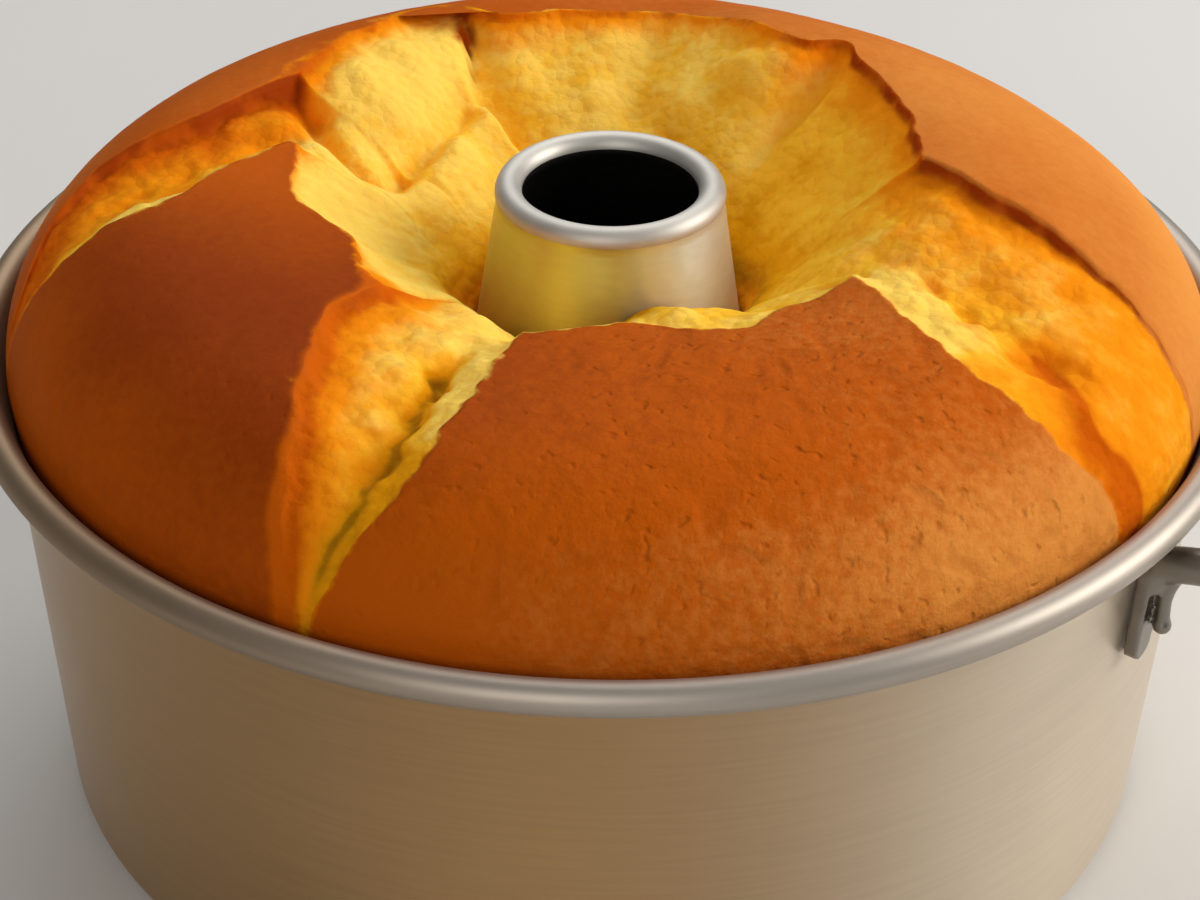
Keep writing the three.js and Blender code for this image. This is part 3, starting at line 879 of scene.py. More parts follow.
@dataclass
class Cake:
    """The cake: a domed crust torn into plates round a funnel of bare crumb, in mm."""

    wall: TinWall
    tube: TubeBase
    side_radius: float = 125.3
    ridge_radius: float = 88.8
    ridge_height: float = 31.7
    ridge_dip: float = 0.0034
    flap_reach: float = 31.5
    flap_height: float = 33.0
    flap_power: float = 0.436  # how squarely the flap's shoulder rises
    flap_rise: float = 0.457
    flap_bend: float = 0.0085
    crown: float = 139.1  # the height that no crest passes
    overhang: float = 1.6  # how far a high plate's crust reaches over the tear
    swell: float = 1.1
    mouth_drop: float = 2.0
    mouth_reach: float = 6.0
    inside_drop: float = 4.0  # how far below the rim the bore's straight part ends
    corner_inset: float = 3.5  # how far inside the wall's foot the underside ends
    # The direction towards the window light, which the crumb's painted light and shade are worked out from.
    window: Triple = (0.62, -0.10, 0.78)  # towards the light
    funnel_rows: int = 58
    crust_rows: int = 104

    funnel_edge: SmoothLine = SmoothLine((
        (-108, 53.6), (-92, 42), (-81, 40.6), (-69.5, 50.6), (-61, 55), (-50, 52), (-33, 57.6),
        (3, 63.5), (25, 67.5), (42, 72.5), (49, 78), (53, 72), (62, 73.3), (83, 85.8), (107, 88.6),
        (114, 100), (125, 95.3), (143, 85.8), (158, 71.7), (171, 67), (182, 63.8), (194, 54.3),
        (205, 55.9), (217, 56.5), (235, 54), (252, 53.6),
    ))
    edge_drop: SmoothLine = SmoothLine((
        (-112, 0.9), (-60, 1.0), (0, 1.2), (50, 1.4), (60, 0.8), (100, 0.8), (108, 1.6), (114, 1.0),
        (130, 0.5), (160, 0.9), (200, 0.9), (217, 0.7), (240, 0.9),
    ))
    edge_soft: SmoothLine = SmoothLine((
        (-112, 1), (45, 1), (60, 0.6), (105, 0.8), (122, 0.5), (130, 0.4), (158, 0.4), (166, 1), (190, 0.8),
        (205, 0.5), (217, 0.35), (240, 1),
    ))
    right_crack: Crack = Crack(
        low=SmoothLine(((57.6, -33), (73, -39.4), (87, -43.6), (98, -44.7), (115, -43), (125, -39))),
        high=SmoothLine(((63.5, 3.4), (75, -6), (88, -10.7), (104, -15.7), (119, -20.2), (125, -22))),
        sections=(
            (0.0, SmoothLine((
                (0, 0), (0.1, 1.0), (0.25, 2.0), (0.5, 2.8), (0.8, 2.8), (0.96, 2.3), (1, 0),
            ))),
            (0.35, SmoothLine((
                (0, 0), (0.06, 0.7), (0.24, 2.2), (0.31, 5.2), (0.42, 5.4), (0.6, 4.0), (0.9, 3.0),
                (0.97, 2.6), (1, 0),
            ))),
            (0.65, SmoothLine((
                (0, 0), (0.08, 1.0), (0.22, 2.8), (0.3, 5.6), (0.4, 5.8), (0.46, 3.0), (0.7, 2.4),
                (0.97, 1.8), (1, 0),
            ))),
            (0.85, SmoothLine((
                (0, 0), (0.07, 1.6), (0.13, 3.8), (0.19, 4.0), (0.25, 1.6), (0.7, 1.2), (0.97, 0.9), (1, 0),
            ))),
        ),
        valley_at=0.33, warm=0.36, glow=0.85, glow_reach=8, scorch_and_shadow=1.1, step_at=0.4, step_end=0.2,
        browned_from=0.74, rough=0.7, pitted=0.15, pale_to=0.48,
    )
    left_back_crack: Crack = Crack(
        low=SmoothLine(((71.3, 162.3), (81, 175), (88, 183), (98, 186.8), (113, 190.8), (125, 193))),
        high=SmoothLine((
            (85.8, 143), (90, 153.2), (93.4, 160.5), (104, 167.8), (115, 177.3), (121, 189), (125, 191),
        )),
        sections=(
            (0.0, SmoothLine(((0, 0), (0.12, 1.2), (0.4, 3.2), (0.8, 3.0), (0.95, 2.4), (1, 0)))),
            (0.3, SmoothLine((
                (0, 0), (0.1, 1.4), (0.3, 4.0), (0.6, 4.6), (0.88, 3.6), (0.96, 2.8), (1, 0),
            ))),
            (0.8, SmoothLine((
                (0, 0), (0.12, 1.2), (0.3, 3.6), (0.6, 4.2), (0.9, 3.0), (0.96, 2.4), (1, 0),
            ))),
        ),
        valley_at=0.5, warm=0.58, glow=1.1, glow_reach=8, scorch_and_shadow=0.88, scorch_and_shadow_reach=3.0, fading=5,
    )
    left_front_crack: Crack = Crack(
        low=SmoothLine(((53.6, 252), (73.6, 252.6), (90, 252.6), (110, 250.5), (123, 246.5), (125, 245))),
        high=SmoothLine(((56.5, 217), (72.5, 222.2), (83, 228), (99, 235), (112, 238.7), (125, 242.5))),
        sections=(
            (0.0, SmoothLine(((0, 0), (0.12, 0.8), (0.3, 1.6), (0.6, 1.2), (0.9, 0.6), (1, 0)))),
            (0.3, SmoothLine((
                (0, 0), (0.04, 0.7), (0.18, 2.8), (0.24, 6.2), (0.3, 6.4), (0.42, 3.6), (0.7, 2.4),
                (0.9, 1.4), (1, 0),
            ))),
            (0.65, SmoothLine((
                (0, 0), (0.06, 0.9), (0.24, 3.6), (0.31, 7.2), (0.4, 7.4), (0.56, 4.4), (0.8, 2.4),
                (0.92, 1.4), (1, 0),
            ))),
            (0.88, SmoothLine((
                (0, 0), (0.1, 1.2), (0.35, 4.5), (0.5, 5.5), (0.65, 4.5), (0.85, 2), (1, 0),
            ))),
        ),
        valley_at=0.29, warm=0.16, glow=1.8, glow_reach=7.0, soft=0.3, browned_from=0.84, rough=1.3,
        pitted=1.7, pale_to=0.66,
    )
    folds: tuple[Fold, ...] = (
        Fold((
            (84, 142), (80, 145), (74, 149), (68, 152), (63, 154), (57, 155), (54, 151), (55, 146),
            (57, 137), (60, 129), (65, 122), (69, 118),
        ), depth=4.6, width=3.2),
        Fold(((82, 133), (74, 134), (68, 133)), depth=-3.4, width=10),
        Fold(((80, 121), (70, 124)), depth=-2.0, width=7),
        Fold(((52, 129), (45, 138), (45, 149)), depth=-3.0, width=6),
        Fold((
            (82, 153), (75, 154), (63, 158), (55, 160), (45, 170), (38, 178), (38, 195), (41, 232),
        ), depth=-2.2, width=4.5),
        Fold(((71, 55), (65, 60), (64, 66)), depth=-2.6, width=5),
        Fold(((76, 49), (66, 47), (58, 50)), depth=2.0, width=4),
        Fold(((66, 78), (57, 74)), depth=-1.8, width=5),
        Fold(((78, 92), (62, 94), (50, 97)), depth=-1.4, width=6),
        Fold(((80, 84), (60, 84)), depth=1.2, width=3.5),
    )
    notch: Ledge = Ledge(
        (
            (100, 111.5), (92, 111.6), (88, 112.5), (80, 114.2), (72, 115.9), (66, 114.2), (59, 113.3),
            (50, 112), (42, 110),
        ), depth=3.6, reach=16, lip=1.6,
    )
    dark_spots: tuple[Fold, ...] = (
        Fold(((99, 110), (93, 111.5), (88, 112.5)), depth=1.0, width=2.6),
        Fold(((86, 148), (83, 151)), depth=0.7, width=3.0),
        Fold(((58, 218.5), (63, 220.5), (68, 222.5)), depth=0.55, width=3.5),
    )
    contact: SmoothLine = SmoothLine((
        (-112, 7), (-97, 7), (-90, 11), (-84, 15), (-76, 17), (-66, 17), (-55, 14), (-40, 9), (-20, 6.5),
        (60, 6), (130, 6), (160, 4.5), (185, 4), (215, 6), (248, 7),
    ))
    bulge: SmoothLine = SmoothLine((
        (-112, 1.3), (-96, 1.4), (-86, 0.8), (-76, 0.6), (-60, 0.6), (-40, 0.75), (-10, 0.95), (60, 0.95),
        (160, 0.85), (200, 0.8), (230, 0.85), (248, 1.3),
    ))
    edge_warm: SmoothLine = SmoothLine((
        (-112, 0.15), (-60, 0.15), (-20, 0.5), (5, 0.95), (50, 1.1), (62, 1.0), (76, 0.7), (100, 1.1),
        (118, 1.05), (130, 1.15), (160, 1.2), (166, 0.6), (185, 0.5), (200, 0.8), (217, 1.1), (235, 0.3),
        (250, 0.15),
    ))
    edge_glow: SmoothLine = SmoothLine((
        (-112, 1.5), (-60, 1.5), (0, 8), (50, 8), (60, 6), (100, 6), (118, 6), (130, 6), (160, 6), (170, 2),
        (200, 3), (217, 7), (235, 4), (250, 1.5),
    ))
    # How dark each plate's funnel edge is: partly scorched crust, partly painted shadow of the step below it.
    edge_scorch_and_shadow: SmoothLine = SmoothLine((
        (-112, 0), (-40, 0), (0, 0.7), (10, 0.9), (44, 0.9), (54, 0.5), (60, 0.1), (103, 0.2), (108, 0.5),
        (112, 0.5), (115, 0.2), (124, 0.0), (150, 0.0), (160, 0.6), (165, 0.3), (175, 0.0), (205, 0.1),
        (217, 0.2), (240, 0),
    ))
    moat: SmoothLine = SmoothLine((
        (-112, 0), (-40, 0), (-15, 1.5), (8, 4.0), (30, 2.0), (90, 1.0), (140, 1.5), (165, 4.5), (180, 5.5),
        (198, 4.5), (215, 1.0), (235, 0),
    ))
    # Painted shade on the funnel's crumb by azimuth, deeper where it turns from the window; below zero it is
    # painted light, paler.
    shade: SmoothLine = SmoothLine((
        (-112, 0), (-60, 0.1), (-20, 0.2), (20, 0.5), (44, 0.5), (52, -0.5), (70, -0.5), (100, -0.5),
        (112, -0.3), (122, -0.6), (160, -0.5), (165, -0.8), (240, -0.6),
    ))
    # How browned the crust is by azimuth: partly real baking, partly painted shade that makes the side away
    # from the window darker.
    bake_and_shade: SmoothLine = SmoothLine((
        (-108, 0.75), (-92, 0.60), (-70, 0.47), (-40, 0.34), (-20, 0.29), (30, 0.20), (60, 0.3),
        (100, 0.42), (150, 0.46), (170, 0.5), (190, 0.78), (225, 0.92), (245, 0.9), (252, 0.78),
    ))
    worn: SmoothLine = SmoothLine((
        (-112, 0.35), (-98, 0.6), (-84, 1), (-45, 1), (-30, 0.25), (60, 0.2), (200, 0.12), (248, 0.35),
    ))

    def tear_line(self, edge: SmoothLine) -> Line:
        """Return a plate's edge as azimuths by the share of the way from the funnel to the rim."""
        corner = 60.0
        for _ in range(12):
            corner = float(self.funnel_edge(edge(corner)))
        return lambda share: edge(blend(corner, self.side_radius, share)) + self.ragged(share)

    def ragged(self, share: Array | float) -> Array:
        """Return how far a plate's edge wanders aside, in degrees, at shares of its length."""
        wave = np.sin(19 * share) + 1.2 * np.sin(41 * share + 2) * np.sin(7 * share)
        wave = wave + 0.7 * np.sin(71 * share) * np.sin(11 * share)
        return 0.22 * wave * plateau(0, 0.08, 0.9, 1, share)

    def brink(self, azimuth: Array) -> Array:
        """Return the radius of the funnel's ragged edge at each azimuth."""
        turn = np.radians(azimuth)
        wave = np.sin(23 * turn) + 0.9 * np.sin(41 * turn + 1) * np.sin(5 * turn) + 0.3 * np.sin(71 * turn)
        return self.funnel_edge(azimuth) + 0.3 * wave

    def sectors(self) -> list[Sector]:
        """Return the sectors in order round the cake, from the front plate anticlockwise."""
        right, back, front = self.right_crack, self.left_back_crack, self.left_front_crack
        right_low, right_high = self.tear_line(right.low), self.tear_line(right.high)
        back_low, back_high = self.tear_line(back.low), self.tear_line(back.high)
        front_low, front_high = self.tear_line(front.low), self.tear_line(front.high)
        return [
            Sector(lambda share: front_low(share) - 360, right_low, 146),
            Sector(right_low, right_high, 76, right),
            Sector(right_high, back_high, 136, high=(True, True)),
            Sector(back_high, back_low, 44, back, flipped=True),
            Sector(back_low, front_high, 78, soft=(1.0, front.soft), high=(False, True)),
            Sector(front_high, front_low, 66, front, flipped=True),
        ]

    def dome(self, radius: Array, azimuth: Array) -> Array:
        """Return the height of the crust above the rim before it tore.

        Args:
            radius: Places out from the axis.
            azimuth: Their azimuths.

        Returns:
            The heights.
        """
        out = np.clip((radius - self.ridge_radius) / (self.side_radius - self.ridge_radius), 0, 1)
        dip = self.ridge_dip * np.maximum(self.ridge_radius - radius, 0) ** 2
        rounded = self.ridge_height * np.sqrt(1 - out * out) - dip
        inside = np.maximum(self.side_radius - self.flap_reach - radius, 0)
        shoulder = np.clip((self.side_radius - radius) / self.flap_reach, 0, 1)
        flap = self.flap_height * shoulder**self.flap_power
        flap = flap + self.flap_rise * inside - self.flap_bend * inside * inside
        return blend(rounded, flap, plateau(-45, -5, 62, 88, azimuth))

    def crumb_relief(self, x: Array, y: Array) -> tuple[Array, Array]:
        """Return how deep bare crumb lies.

        Args:
            x: Places along X.
            y: Places along Y.

        Returns:
            The depth of its folds and swells, and the depth of its lumps and tears.
        """
        def wave(length: float, angle: float, shift: float) -> Array:
            """Return one train of waves across the plan."""
            along = x * math.cos(angle) + y * math.sin(angle)
            return np.sin(2 * math.pi * along / length + shift)

        swells = 0.5 * wave(31, 0.4, 1) * wave(27, 2.1, 4) + 0.5 * wave(17, 1.2, 2) * wave(19, 2.9, 5)
        folds = sum(fold.relief(x, y) for fold in self.folds) + self.notch.relief(x, y)
        return folds - self.swell * swells, self.lumps(x, y)

    def edge_darkening(self, x: Array, y: Array) -> Array:
        """Return how much the dark spots on the plates' edges darken each place."""
        return sum(dark_spot.relief(x, y) for dark_spot in self.dark_spots)

    def lumps(self, x: Array, y: Array) -> Array:
        """Return how deep the lumps and tears of the crumb lie at each place."""
        lumps = sum(height * creased(x, y, size) for height, size in ((1.6, 13.0), (1.5, 7.0), (0.6, 3.6)))
        return lumps - 0.6 * fractal(x, y, 9.0, 3, 3.0)

    def crust_grid(self, sector: Sector, share: Array) -> dict[str, Array]:
        """Work out the torn top beyond the funnel.

        Args:
            sector: The part of the top.
            share: The rows, as shares of the way from the funnel to the rim.

        Returns:
            Arrays of columns by rows.
        """
        across = sector.across(share)
        rows = share[None, :] + 0 * across
        azimuth = blend(sector.start(rows), sector.end(rows), across)
        edge_azimuth = blend(sector.start(0.0), sector.end(0.0), across)
        start = self.brink(edge_azimuth)
        radius = blend(start, self.side_radius, rows)
        x, y = in_plan(radius, azimuth)
        width = np.radians(sector.end(rows) - sector.start(rows)) * radius
        height = self.dome(radius, azimuth)
        worn = self.worn(azimuth)
        fade = 1 - rows**4
        if sector.crack:
            crack, side = sector.crack, sector.side(across, rows)
            from_high, from_low = (1 - side) * width, side * width
            bare = plateau(0, 0.1, 0.9, 1, side) * fade
            broad, lumps = self.crumb_relief(x, y)
            mouth = self.mouth_drop * fading(radius - start, self.mouth_reach)
            depth = crack.depth(side, rows)
            pits = bell(side - crack.valley_at, crack.valley_width) * fade
            stepped = crack.step_at > 0
            step = blend(crack.step_at, crack.step_end, smoothstep(0.55, 0.95, rows))
            skin = smoothstep(0, 0.08, side - step) * smoothstep(0.45, 0.7, rows) * stepped
            torn = crack.rough * (0.6 + pits) * (1 - 0.7 * skin) * lumps
            height = height - depth - bare * (broad + mouth + torn)
            tear = -np.minimum(from_low, (from_high - self.overhang) * crack.soft) - 0.2 * crack.soft
            warm = crack.warm + crack.glow * fading(from_high, crack.glow_reach)
            warm = warm + smoothstep(crack.browned_from, crack.browned_from + 0.45, rows)
            past_pale = smoothstep(-0.07, 0.07, rows - crack.pale_to)
            warm = warm - 0.9 * bell(from_low, 6) * (1 - past_pale * stepped)
            if stepped:
                beside = np.where(side > step, (side - step) / 0.03, (step - side) / 0.13)
                warm = blend(warm, crack.step_warm, skin)
                # A narrow darker band along the skinned step: painted shadow of the step.
                warm = warm + 1.2 * fading(beside, 1) * smoothstep(0.45, 0.65, rows)
            # The high plate's edge darkens: partly scorched crust, partly painted shadow under its overhang.
            scorch_and_shadow = crack.scorch_and_shadow * bell(from_high, crack.scorch_and_shadow_reach) * (1 - 0.5 * smoothstep(0.5, 1, rows))
            scorch_and_shadow = scorch_and_shadow + self.edge_darkening(x, y)
            pitted = pits * smoothstep(0.1, 0.35, rows) * crack.pitted
            # Painted shade: the crumb's colour deepens where the tear is deep, in the pits along its valley,
            # in the creases between lumps, and past the pale strip beside the low plate; it also deepens
            # towards the rim.
            sunk = (depth - 3) / 5 + (0.9 + 0.9 * lumps) * pitted
            sunk = sunk + bare * (0.1 * broad + 0.2 * crack.rough * lumps)
            sunk = sunk + 1.2 * past_pale * bell(from_low, 10) + 0.7 * smoothstep(0.45, 0.95, rows)
        else:
            from_start, from_end = across * width, (1 - across) * width
            soft = self.edge_soft(edge_azimuth)
            past_start, past_end = (self.overhang * high for high in sector.high)
            tear = np.minimum(
                (from_start + past_start) * sector.soft[0], (from_end + past_end) * sector.soft[1]
            )
            tear = np.minimum(tear, (radius - start) * soft) + 0.2 * soft
            warm = 1.9 * (1 - soft) * fading(radius - start, 3)
            warm = warm + 1.8 * (1 - sector.soft[1]) * fading(from_end, 4)
            warm = warm + smoothstep(0.5, 0.95, rows) * fading(np.minimum(from_start, from_end), 2.5)
            scorch_and_shadow, sunk = 0 * rows, 0 * rows
            creases = (0.15 + 0.3 * worn) * fractal(x, y, 13.0, 4, 9.0)
            height = height + (0.3 * fading(tear, 2) + creases) * fade
        bake_and_shade = self.bake_and_shade(azimuth) - 0.22 * smoothstep(104, 125, radius)
        z = self.wall.bead_height + height
        return dict(zip(LAYERS, (x, y, z, tear, bake_and_shade, warm, scorch_and_shadow, sunk, worn)))

    def funnel_grid(self, sector: Sector, share: Array) -> dict[str, Array]:
        """Work out the funnel of crumb.

        Args:
            sector: The part of the top.
            share: The rows, as shares of the way from the tube to the crust's edge.

        Returns:
            Arrays of columns by rows.
        """
        rim, gap = self.wall.bead_height, self.wall.gap
        edge = self.crust_grid(sector, np.zeros(1))
        across = sector.across(share)
        rows = share[None, :] + 0 * across
        azimuth = blend(sector.start(0.0), sector.end(0.0), across)
        moat = self.moat(azimuth)
        foot = self.contact(azimuth) + rim
        inner = self.tube.outside(foot - moat, rim) + gap
        outer = self.brink(azimuth)
        radius = blend(inner, outer, rows)
        away = outer - radius
        x, y = in_plan(radius, azimuth)
        broad, lumps = self.crumb_relief(x, y)
        streaks = self.lumps(*in_plan(40 + (radius - 40) / 2.2, azimuth))
        lumps = blend(streaks, lumps, rows**3 * bool(sector.crack))
        bare = smoothstep(0, 0.25, rows)
        brink = rim + self.dome(outer, azimuth)
        if sector.crack:
            side = sector.side(across, 0 * rows)
            bare = bare * blend(1, plateau(0, 0.1, 0.9, 1, side), rows)
            drop = sector.crack.depth(side, 0 * rows) * rows**3
            drop = drop + bare * self.mouth_drop * fading(away, self.mouth_reach)
            warm = np.maximum(edge["warm"], 0) * fading(away, sector.crack.fading)
            scorch_and_shadow = edge["scorch_and_shadow"] * fading(away, 3)
            beside = -edge["tear"]
        else:
            bare = bare * (1 - smoothstep(0.85, 1, rows))
            drop = (brink - edge["z"]) * rows**6
            drop = drop + self.edge_drop(azimuth) * smoothstep(0, 1.2, away) * fading(away, 9)
            warm = self.edge_warm(azimuth) * fading(away, self.edge_glow(azimuth))
            # A dark line along the plate's funnel edge, partly scorched crust and partly painted shadow of
            # the step, with the dark spots added.
            scorch_and_shadow = self.edge_scorch_and_shadow(azimuth) * bell(away, 1.7) + self.edge_darkening(x, y)
            beside = 0 * rows
        beside_tube = fading(radius - inner, 4)
        height = blend(foot, brink, rows ** self.bulge(azimuth)) - bare * (broad + 0.5 * lumps) - drop
        height = height - moat * (beside_tube - fading(outer - inner, 4))
        tear = -np.hypot(away * self.edge_soft(azimuth), beside) - 0.2
        # Painted shade: the crumb is browner and deeper in the pocket beside the tube, deeper in the creases
        # between lumps and low in the funnel, and follows the painted shade by azimuth.
        warm = warm + 0.22 * moat * beside_tube
        sunk = 0.06 * broad + 0.24 * bare * lumps + 0.4 * (1 - rows) ** 3
        sunk = sunk + (1 + 0.5 * moat) * fading(radius - inner, 5) + 0.3 * self.shade(azimuth)
        bake_and_shade, worn = self.bake_and_shade(azimuth), self.worn(azimuth)
        return dict(zip(LAYERS, (x, y, height, tear, bake_and_shade, warm, scorch_and_shadow, sunk, worn)))

    def ring_grid(self, sector: Sector, radius: float, z: float, share: float) -> dict[str, Array]:
        """Work out a level ring of the part inside the tin.

        Args:
            sector: The part of the ring.
            radius: The ring's radius.
            z: Its height above the underside.
            share: Whether its columns follow the funnel, at 0, or the rim, at 1.

        Returns:
            Arrays of columns by one row.
        """
        x, y = in_plan(radius, blend(sector.start(share), sector.end(share), sector.across(np.zeros(1))))
        whole_crust, baked = 5, 0.6
        values = (z, whole_crust, baked, 0, 0, 0, 0)
        return dict(zip(LAYERS, (x, y, *(0 * x + value for value in values))))

    def grid(self) -> dict[str, Array]:
        """Work out the whole skin, as arrays of columns by rows from the bore out and down."""
        wall, tube = self.wall, self.tube
        floor = wall.sheet + wall.gap + tube.base_sheet + wall.gap
        low = floor + tube.fillet + wall.gap
        rim = wall.bead_height
        inset = wall.sheet + wall.gap
        even = np.arange(self.funnel_rows + 1) / self.funnel_rows
        funnel = 1 - (1 - even) ** 1.35
        crust = np.sin(np.arange(1, self.crust_rows + 1) / self.crust_rows * math.pi / 2)
        bore = [(float(tube.outside(z, rim)) + wall.gap, z) for z in (floor, low, rim - self.inside_drop)]
        bore[0] = (bore[0][0] + tube.fillet + wall.gap, floor)
        side = [(float(wall.outside(z)) - inset, z) for z in (wall.shoulder, wall.foot_round)]
        side.append((wall.foot - self.corner_inset, floor))
        strips = []
        for sector in self.sectors():
            strip = [
                *(self.ring_grid(sector, radius, z, 0) for radius, z in bore),
                self.funnel_grid(sector, funnel),
                self.crust_grid(sector, crust),
                *(self.ring_grid(sector, radius, z, 1) for radius, z in side),
            ]
            strips.append({key: np.concatenate([part[key] for part in strip], axis=1) for key in LAYERS})
        whole = {key: np.concatenate([strip[key] for strip in strips], axis=0) for key in LAYERS}
        # Painted light and shade from how each part of the skin faces the window.
        whole["sunk"] = whole["sunk"] + self.window_light_and_shade(whole)
        whole["z"] = np.minimum(whole["z"], self.crown)
        return whole

    def window_light_and_shade(self, grid: dict[str, Array]) -> Array:
        """Return painted light and shade for the crumb's colour: deeper where the skin turns from the window,
        paler where it faces it.
        """
        place = np.stack([grid[key] for key in "xyz"], axis=-1)
        around = np.roll(place, -1, axis=0) - np.roll(place, 1, axis=0)
        facing = np.cross(np.gradient(place, axis=1), around)
        facing /= np.maximum(np.linalg.norm(facing, axis=-1, keepdims=True), 1e-9)
        return 0.55 * (0.62 - facing @ np.array(self.window))

    def build(self, finish: bpy.types.Material) -> bpy.types.Object:
        """Build the cake.

        Args:
            finish: Its material.

        Returns:
            The piece, with the attributes that its material reads.
        """
        grid = self.grid()
        columns, rows = grid["x"].shape
        skin = ring_mesh([(1.0, float(row)) for row in range(rows)], columns)
        layers = {key: skin.verts.layers.float.new(key) for key in LAYERS[3:]}
        for vert in skin.verts:
            column = round(math.atan2(vert.co.y, vert.co.x) / (2 * math.pi) * columns) % columns
            row = round(vert.co.z)
            vert.co = Vector([grid[key][column, row] for key in "xyz"])
            for key, layer in layers.items():
                vert[layer] = float(grid[key][column, row])
        bmesh.ops.recalc_face_normals(skin, faces=skin.faces)
        return finish_piece(skin, "cake_crust_and_crumb", finish, "cake_crust", "cake")


# ---------------------------------------------------------------- the handle


@dataclass(frozen=True)
class Handle:
    """The cast side handle: an oval bar on two feet, each a tab and a prong, in mm."""

    wall: TinWall
    azimuth: float = -15.0
    half_span: float = 18.0
    reach: float = 160.0
    bar_width: float = 7.0
    bar_height: float = 7.6
    drop: float = 6.0
    tab_width: float = 7.0
    tab_length: float = 21.0
    tab_sheet: float = 3.0
    tab_top: float = 13.0  # below the middle of the rim
    tab_round: float = 0.48  # as a share of the tab's width
    prong: float = 3.0
    prong_line: Points = ((135, 9), (132, 13.5), (130.5, 18.5), (130.5, 24.7))  # radius, depth
    arm_line: tuple[Triple, ...] = (
        (126.8, 0, 16), (129.5, 0, 11), (139, 0, 8), (150, 0.5, 6.5), (159, 5, 6),
    )  # radius, degrees in from the foot, and depth below the middle of the rim
    ball: float = 2.0
    voxel: float = 0.45

    def spot(self, radius: float, azimuth: float, below: float) -> Vector:
        """Return a point at a radius, azimuth and depth below the middle of the rim."""
        turn = math.radians(azimuth)
        return Vector((radius * math.cos(turn), radius * math.sin(turn), self.wall.bead_height - below))

    def sweep(
        self, mesh: bmesh.types.BMesh, points: list[Vector], width: float, height: float, steps: int
    ) -> None:
        """Sweep an oval along a smooth line through points.

        Args:
            mesh: The mesh that gets the bar.
            points: The line's points.
            width: The oval's width, level and square to the line.
            height: Its height.
            steps: How many stretches each pair of points gets.
        """
        route = smooth_route(points, steps)
        ring = bmesh.ops.create_circle(mesh, cap_ends=False, segments=20, radius=1.0)["verts"]
        edges = list({edge for vert in ring for edge in vert.link_edges})
        start = ring
        for vert in ring:
            vert.co = Vector((vert.co.x * width / 2, vert.co.y * height / 2, 0))
        turned = section_frame(route[1] - route[0], route[0])
        bmesh.ops.transform(mesh, matrix=turned, verts=ring)
        for before, here, after in zip(route, route[1:], route[2:] + [route[-1] * 2 - route[-2]]):
            grown = bmesh.ops.extrude_edge_only(mesh, edges=edges)["geom"]
            ring = [item for item in grown if isinstance(item, bmesh.types.BMVert)]
            edges = [item for item in grown if isinstance(item, bmesh.types.BMEdge)]
            frame_here = section_frame(after - before, here)
            bmesh.ops.transform(mesh, matrix=frame_here @ turned.inverted(), verts=ring)
            turned = frame_here
        for loop in (start, ring):
            bmesh.ops.contextual_create(mesh, geom=loop)

    def foot(self, mesh: bmesh.types.BMesh, azimuth: float) -> None:
        """Add one foot: the tab on the wall and the prong that curls down to a ball.

        Args:
            mesh: The mesh that gets the foot.
            azimuth: Where the foot stands.
        """
        close = 0.1
        z = self.wall.bead_height - self.tab_top
        tilt = math.atan((self.wall.top - self.wall.foot) / self.wall.bead_height)
        back = float(self.wall.outside(z)) + self.wall.gap
        tab = bmesh.ops.create_cube(mesh, size=1.0)["verts"]
        bmesh.ops.scale(mesh, vec=(self.tab_sheet, self.tab_width, self.tab_length), verts=tab)
        bmesh.ops.translate(mesh, vec=(self.tab_sheet / 2, 0, -self.tab_length / 2), verts=tab)
        low = [vert for vert in tab if vert.co.z < close - self.tab_length]
        corners = [
            edge for edge in {edge for vert in low for edge in vert.link_edges}
            if all(vert in low for vert in edge.verts)
            and abs(edge.verts[0].co.y - edge.verts[1].co.y) < close
        ]
        bevelled = bmesh.ops.bevel(
            mesh, geom=corners, offset=self.tab_width * self.tab_round, segments=6, profile=0.5,
            affect="EDGES", material=-1,
        )
        verts = list({*[v for v in tab if v.is_valid], *bevelled["verts"]})
        turn = Matrix.Rotation(math.radians(azimuth), 4, "Z") @ Matrix.Translation((back, 0, z))
        bmesh.ops.transform(mesh, matrix=turn @ Matrix.Rotation(tilt, 4, "Y"), verts=verts)
        prong = [self.spot(radius, azimuth, below) for radius, below in self.prong_line]
        self.sweep(mesh, prong, self.prong, self.prong, 6)
        ball = bmesh.ops.create_uvsphere(mesh, u_segments=20, v_segments=14, radius=self.ball)["verts"]
        bmesh.ops.translate(mesh, vec=prong[-1], verts=ball)

    def build(self, finish: bpy.types.Material) -> bpy.types.Object:
        """Build the handle, its pieces melted together as one casting.

        Args:
            finish: Its material.

        Returns:
            The piece.
        """
        mesh = bmesh.new()

        def side(sign: int) -> list[Vector]:
            """Return the route from a foot to the start of the grip."""
            foot = self.azimuth + sign * self.half_span
            return [self.spot(radius, foot - sign * inward, below) for radius, inward, below in self.arm_line]

        route = [*side(-1), self.spot(self.reach, self.azimuth, self.drop), *reversed(side(1))]
        self.sweep(mesh, route, self.bar_width, self.bar_height, 8)
        for sign in (-1, 1):
            self.foot(mesh, self.azimuth + sign * self.half_span)
        bmesh.ops.recalc_face_normals(mesh, faces=mesh.faces)
        piece = finish_piece(mesh, "handle_cast", finish, "handle_aluminium", "handle")
        melt = piece.modifiers.new("melt", "REMESH")
        melt.mode, melt.voxel_size = "VOXEL", self.voxel * MM
        soften = piece.modifiers.new("soften", "SMOOTH")
        soften.factor, soften.iterations = 0.5, 6
        apply_modifiers(piece)
        return piece


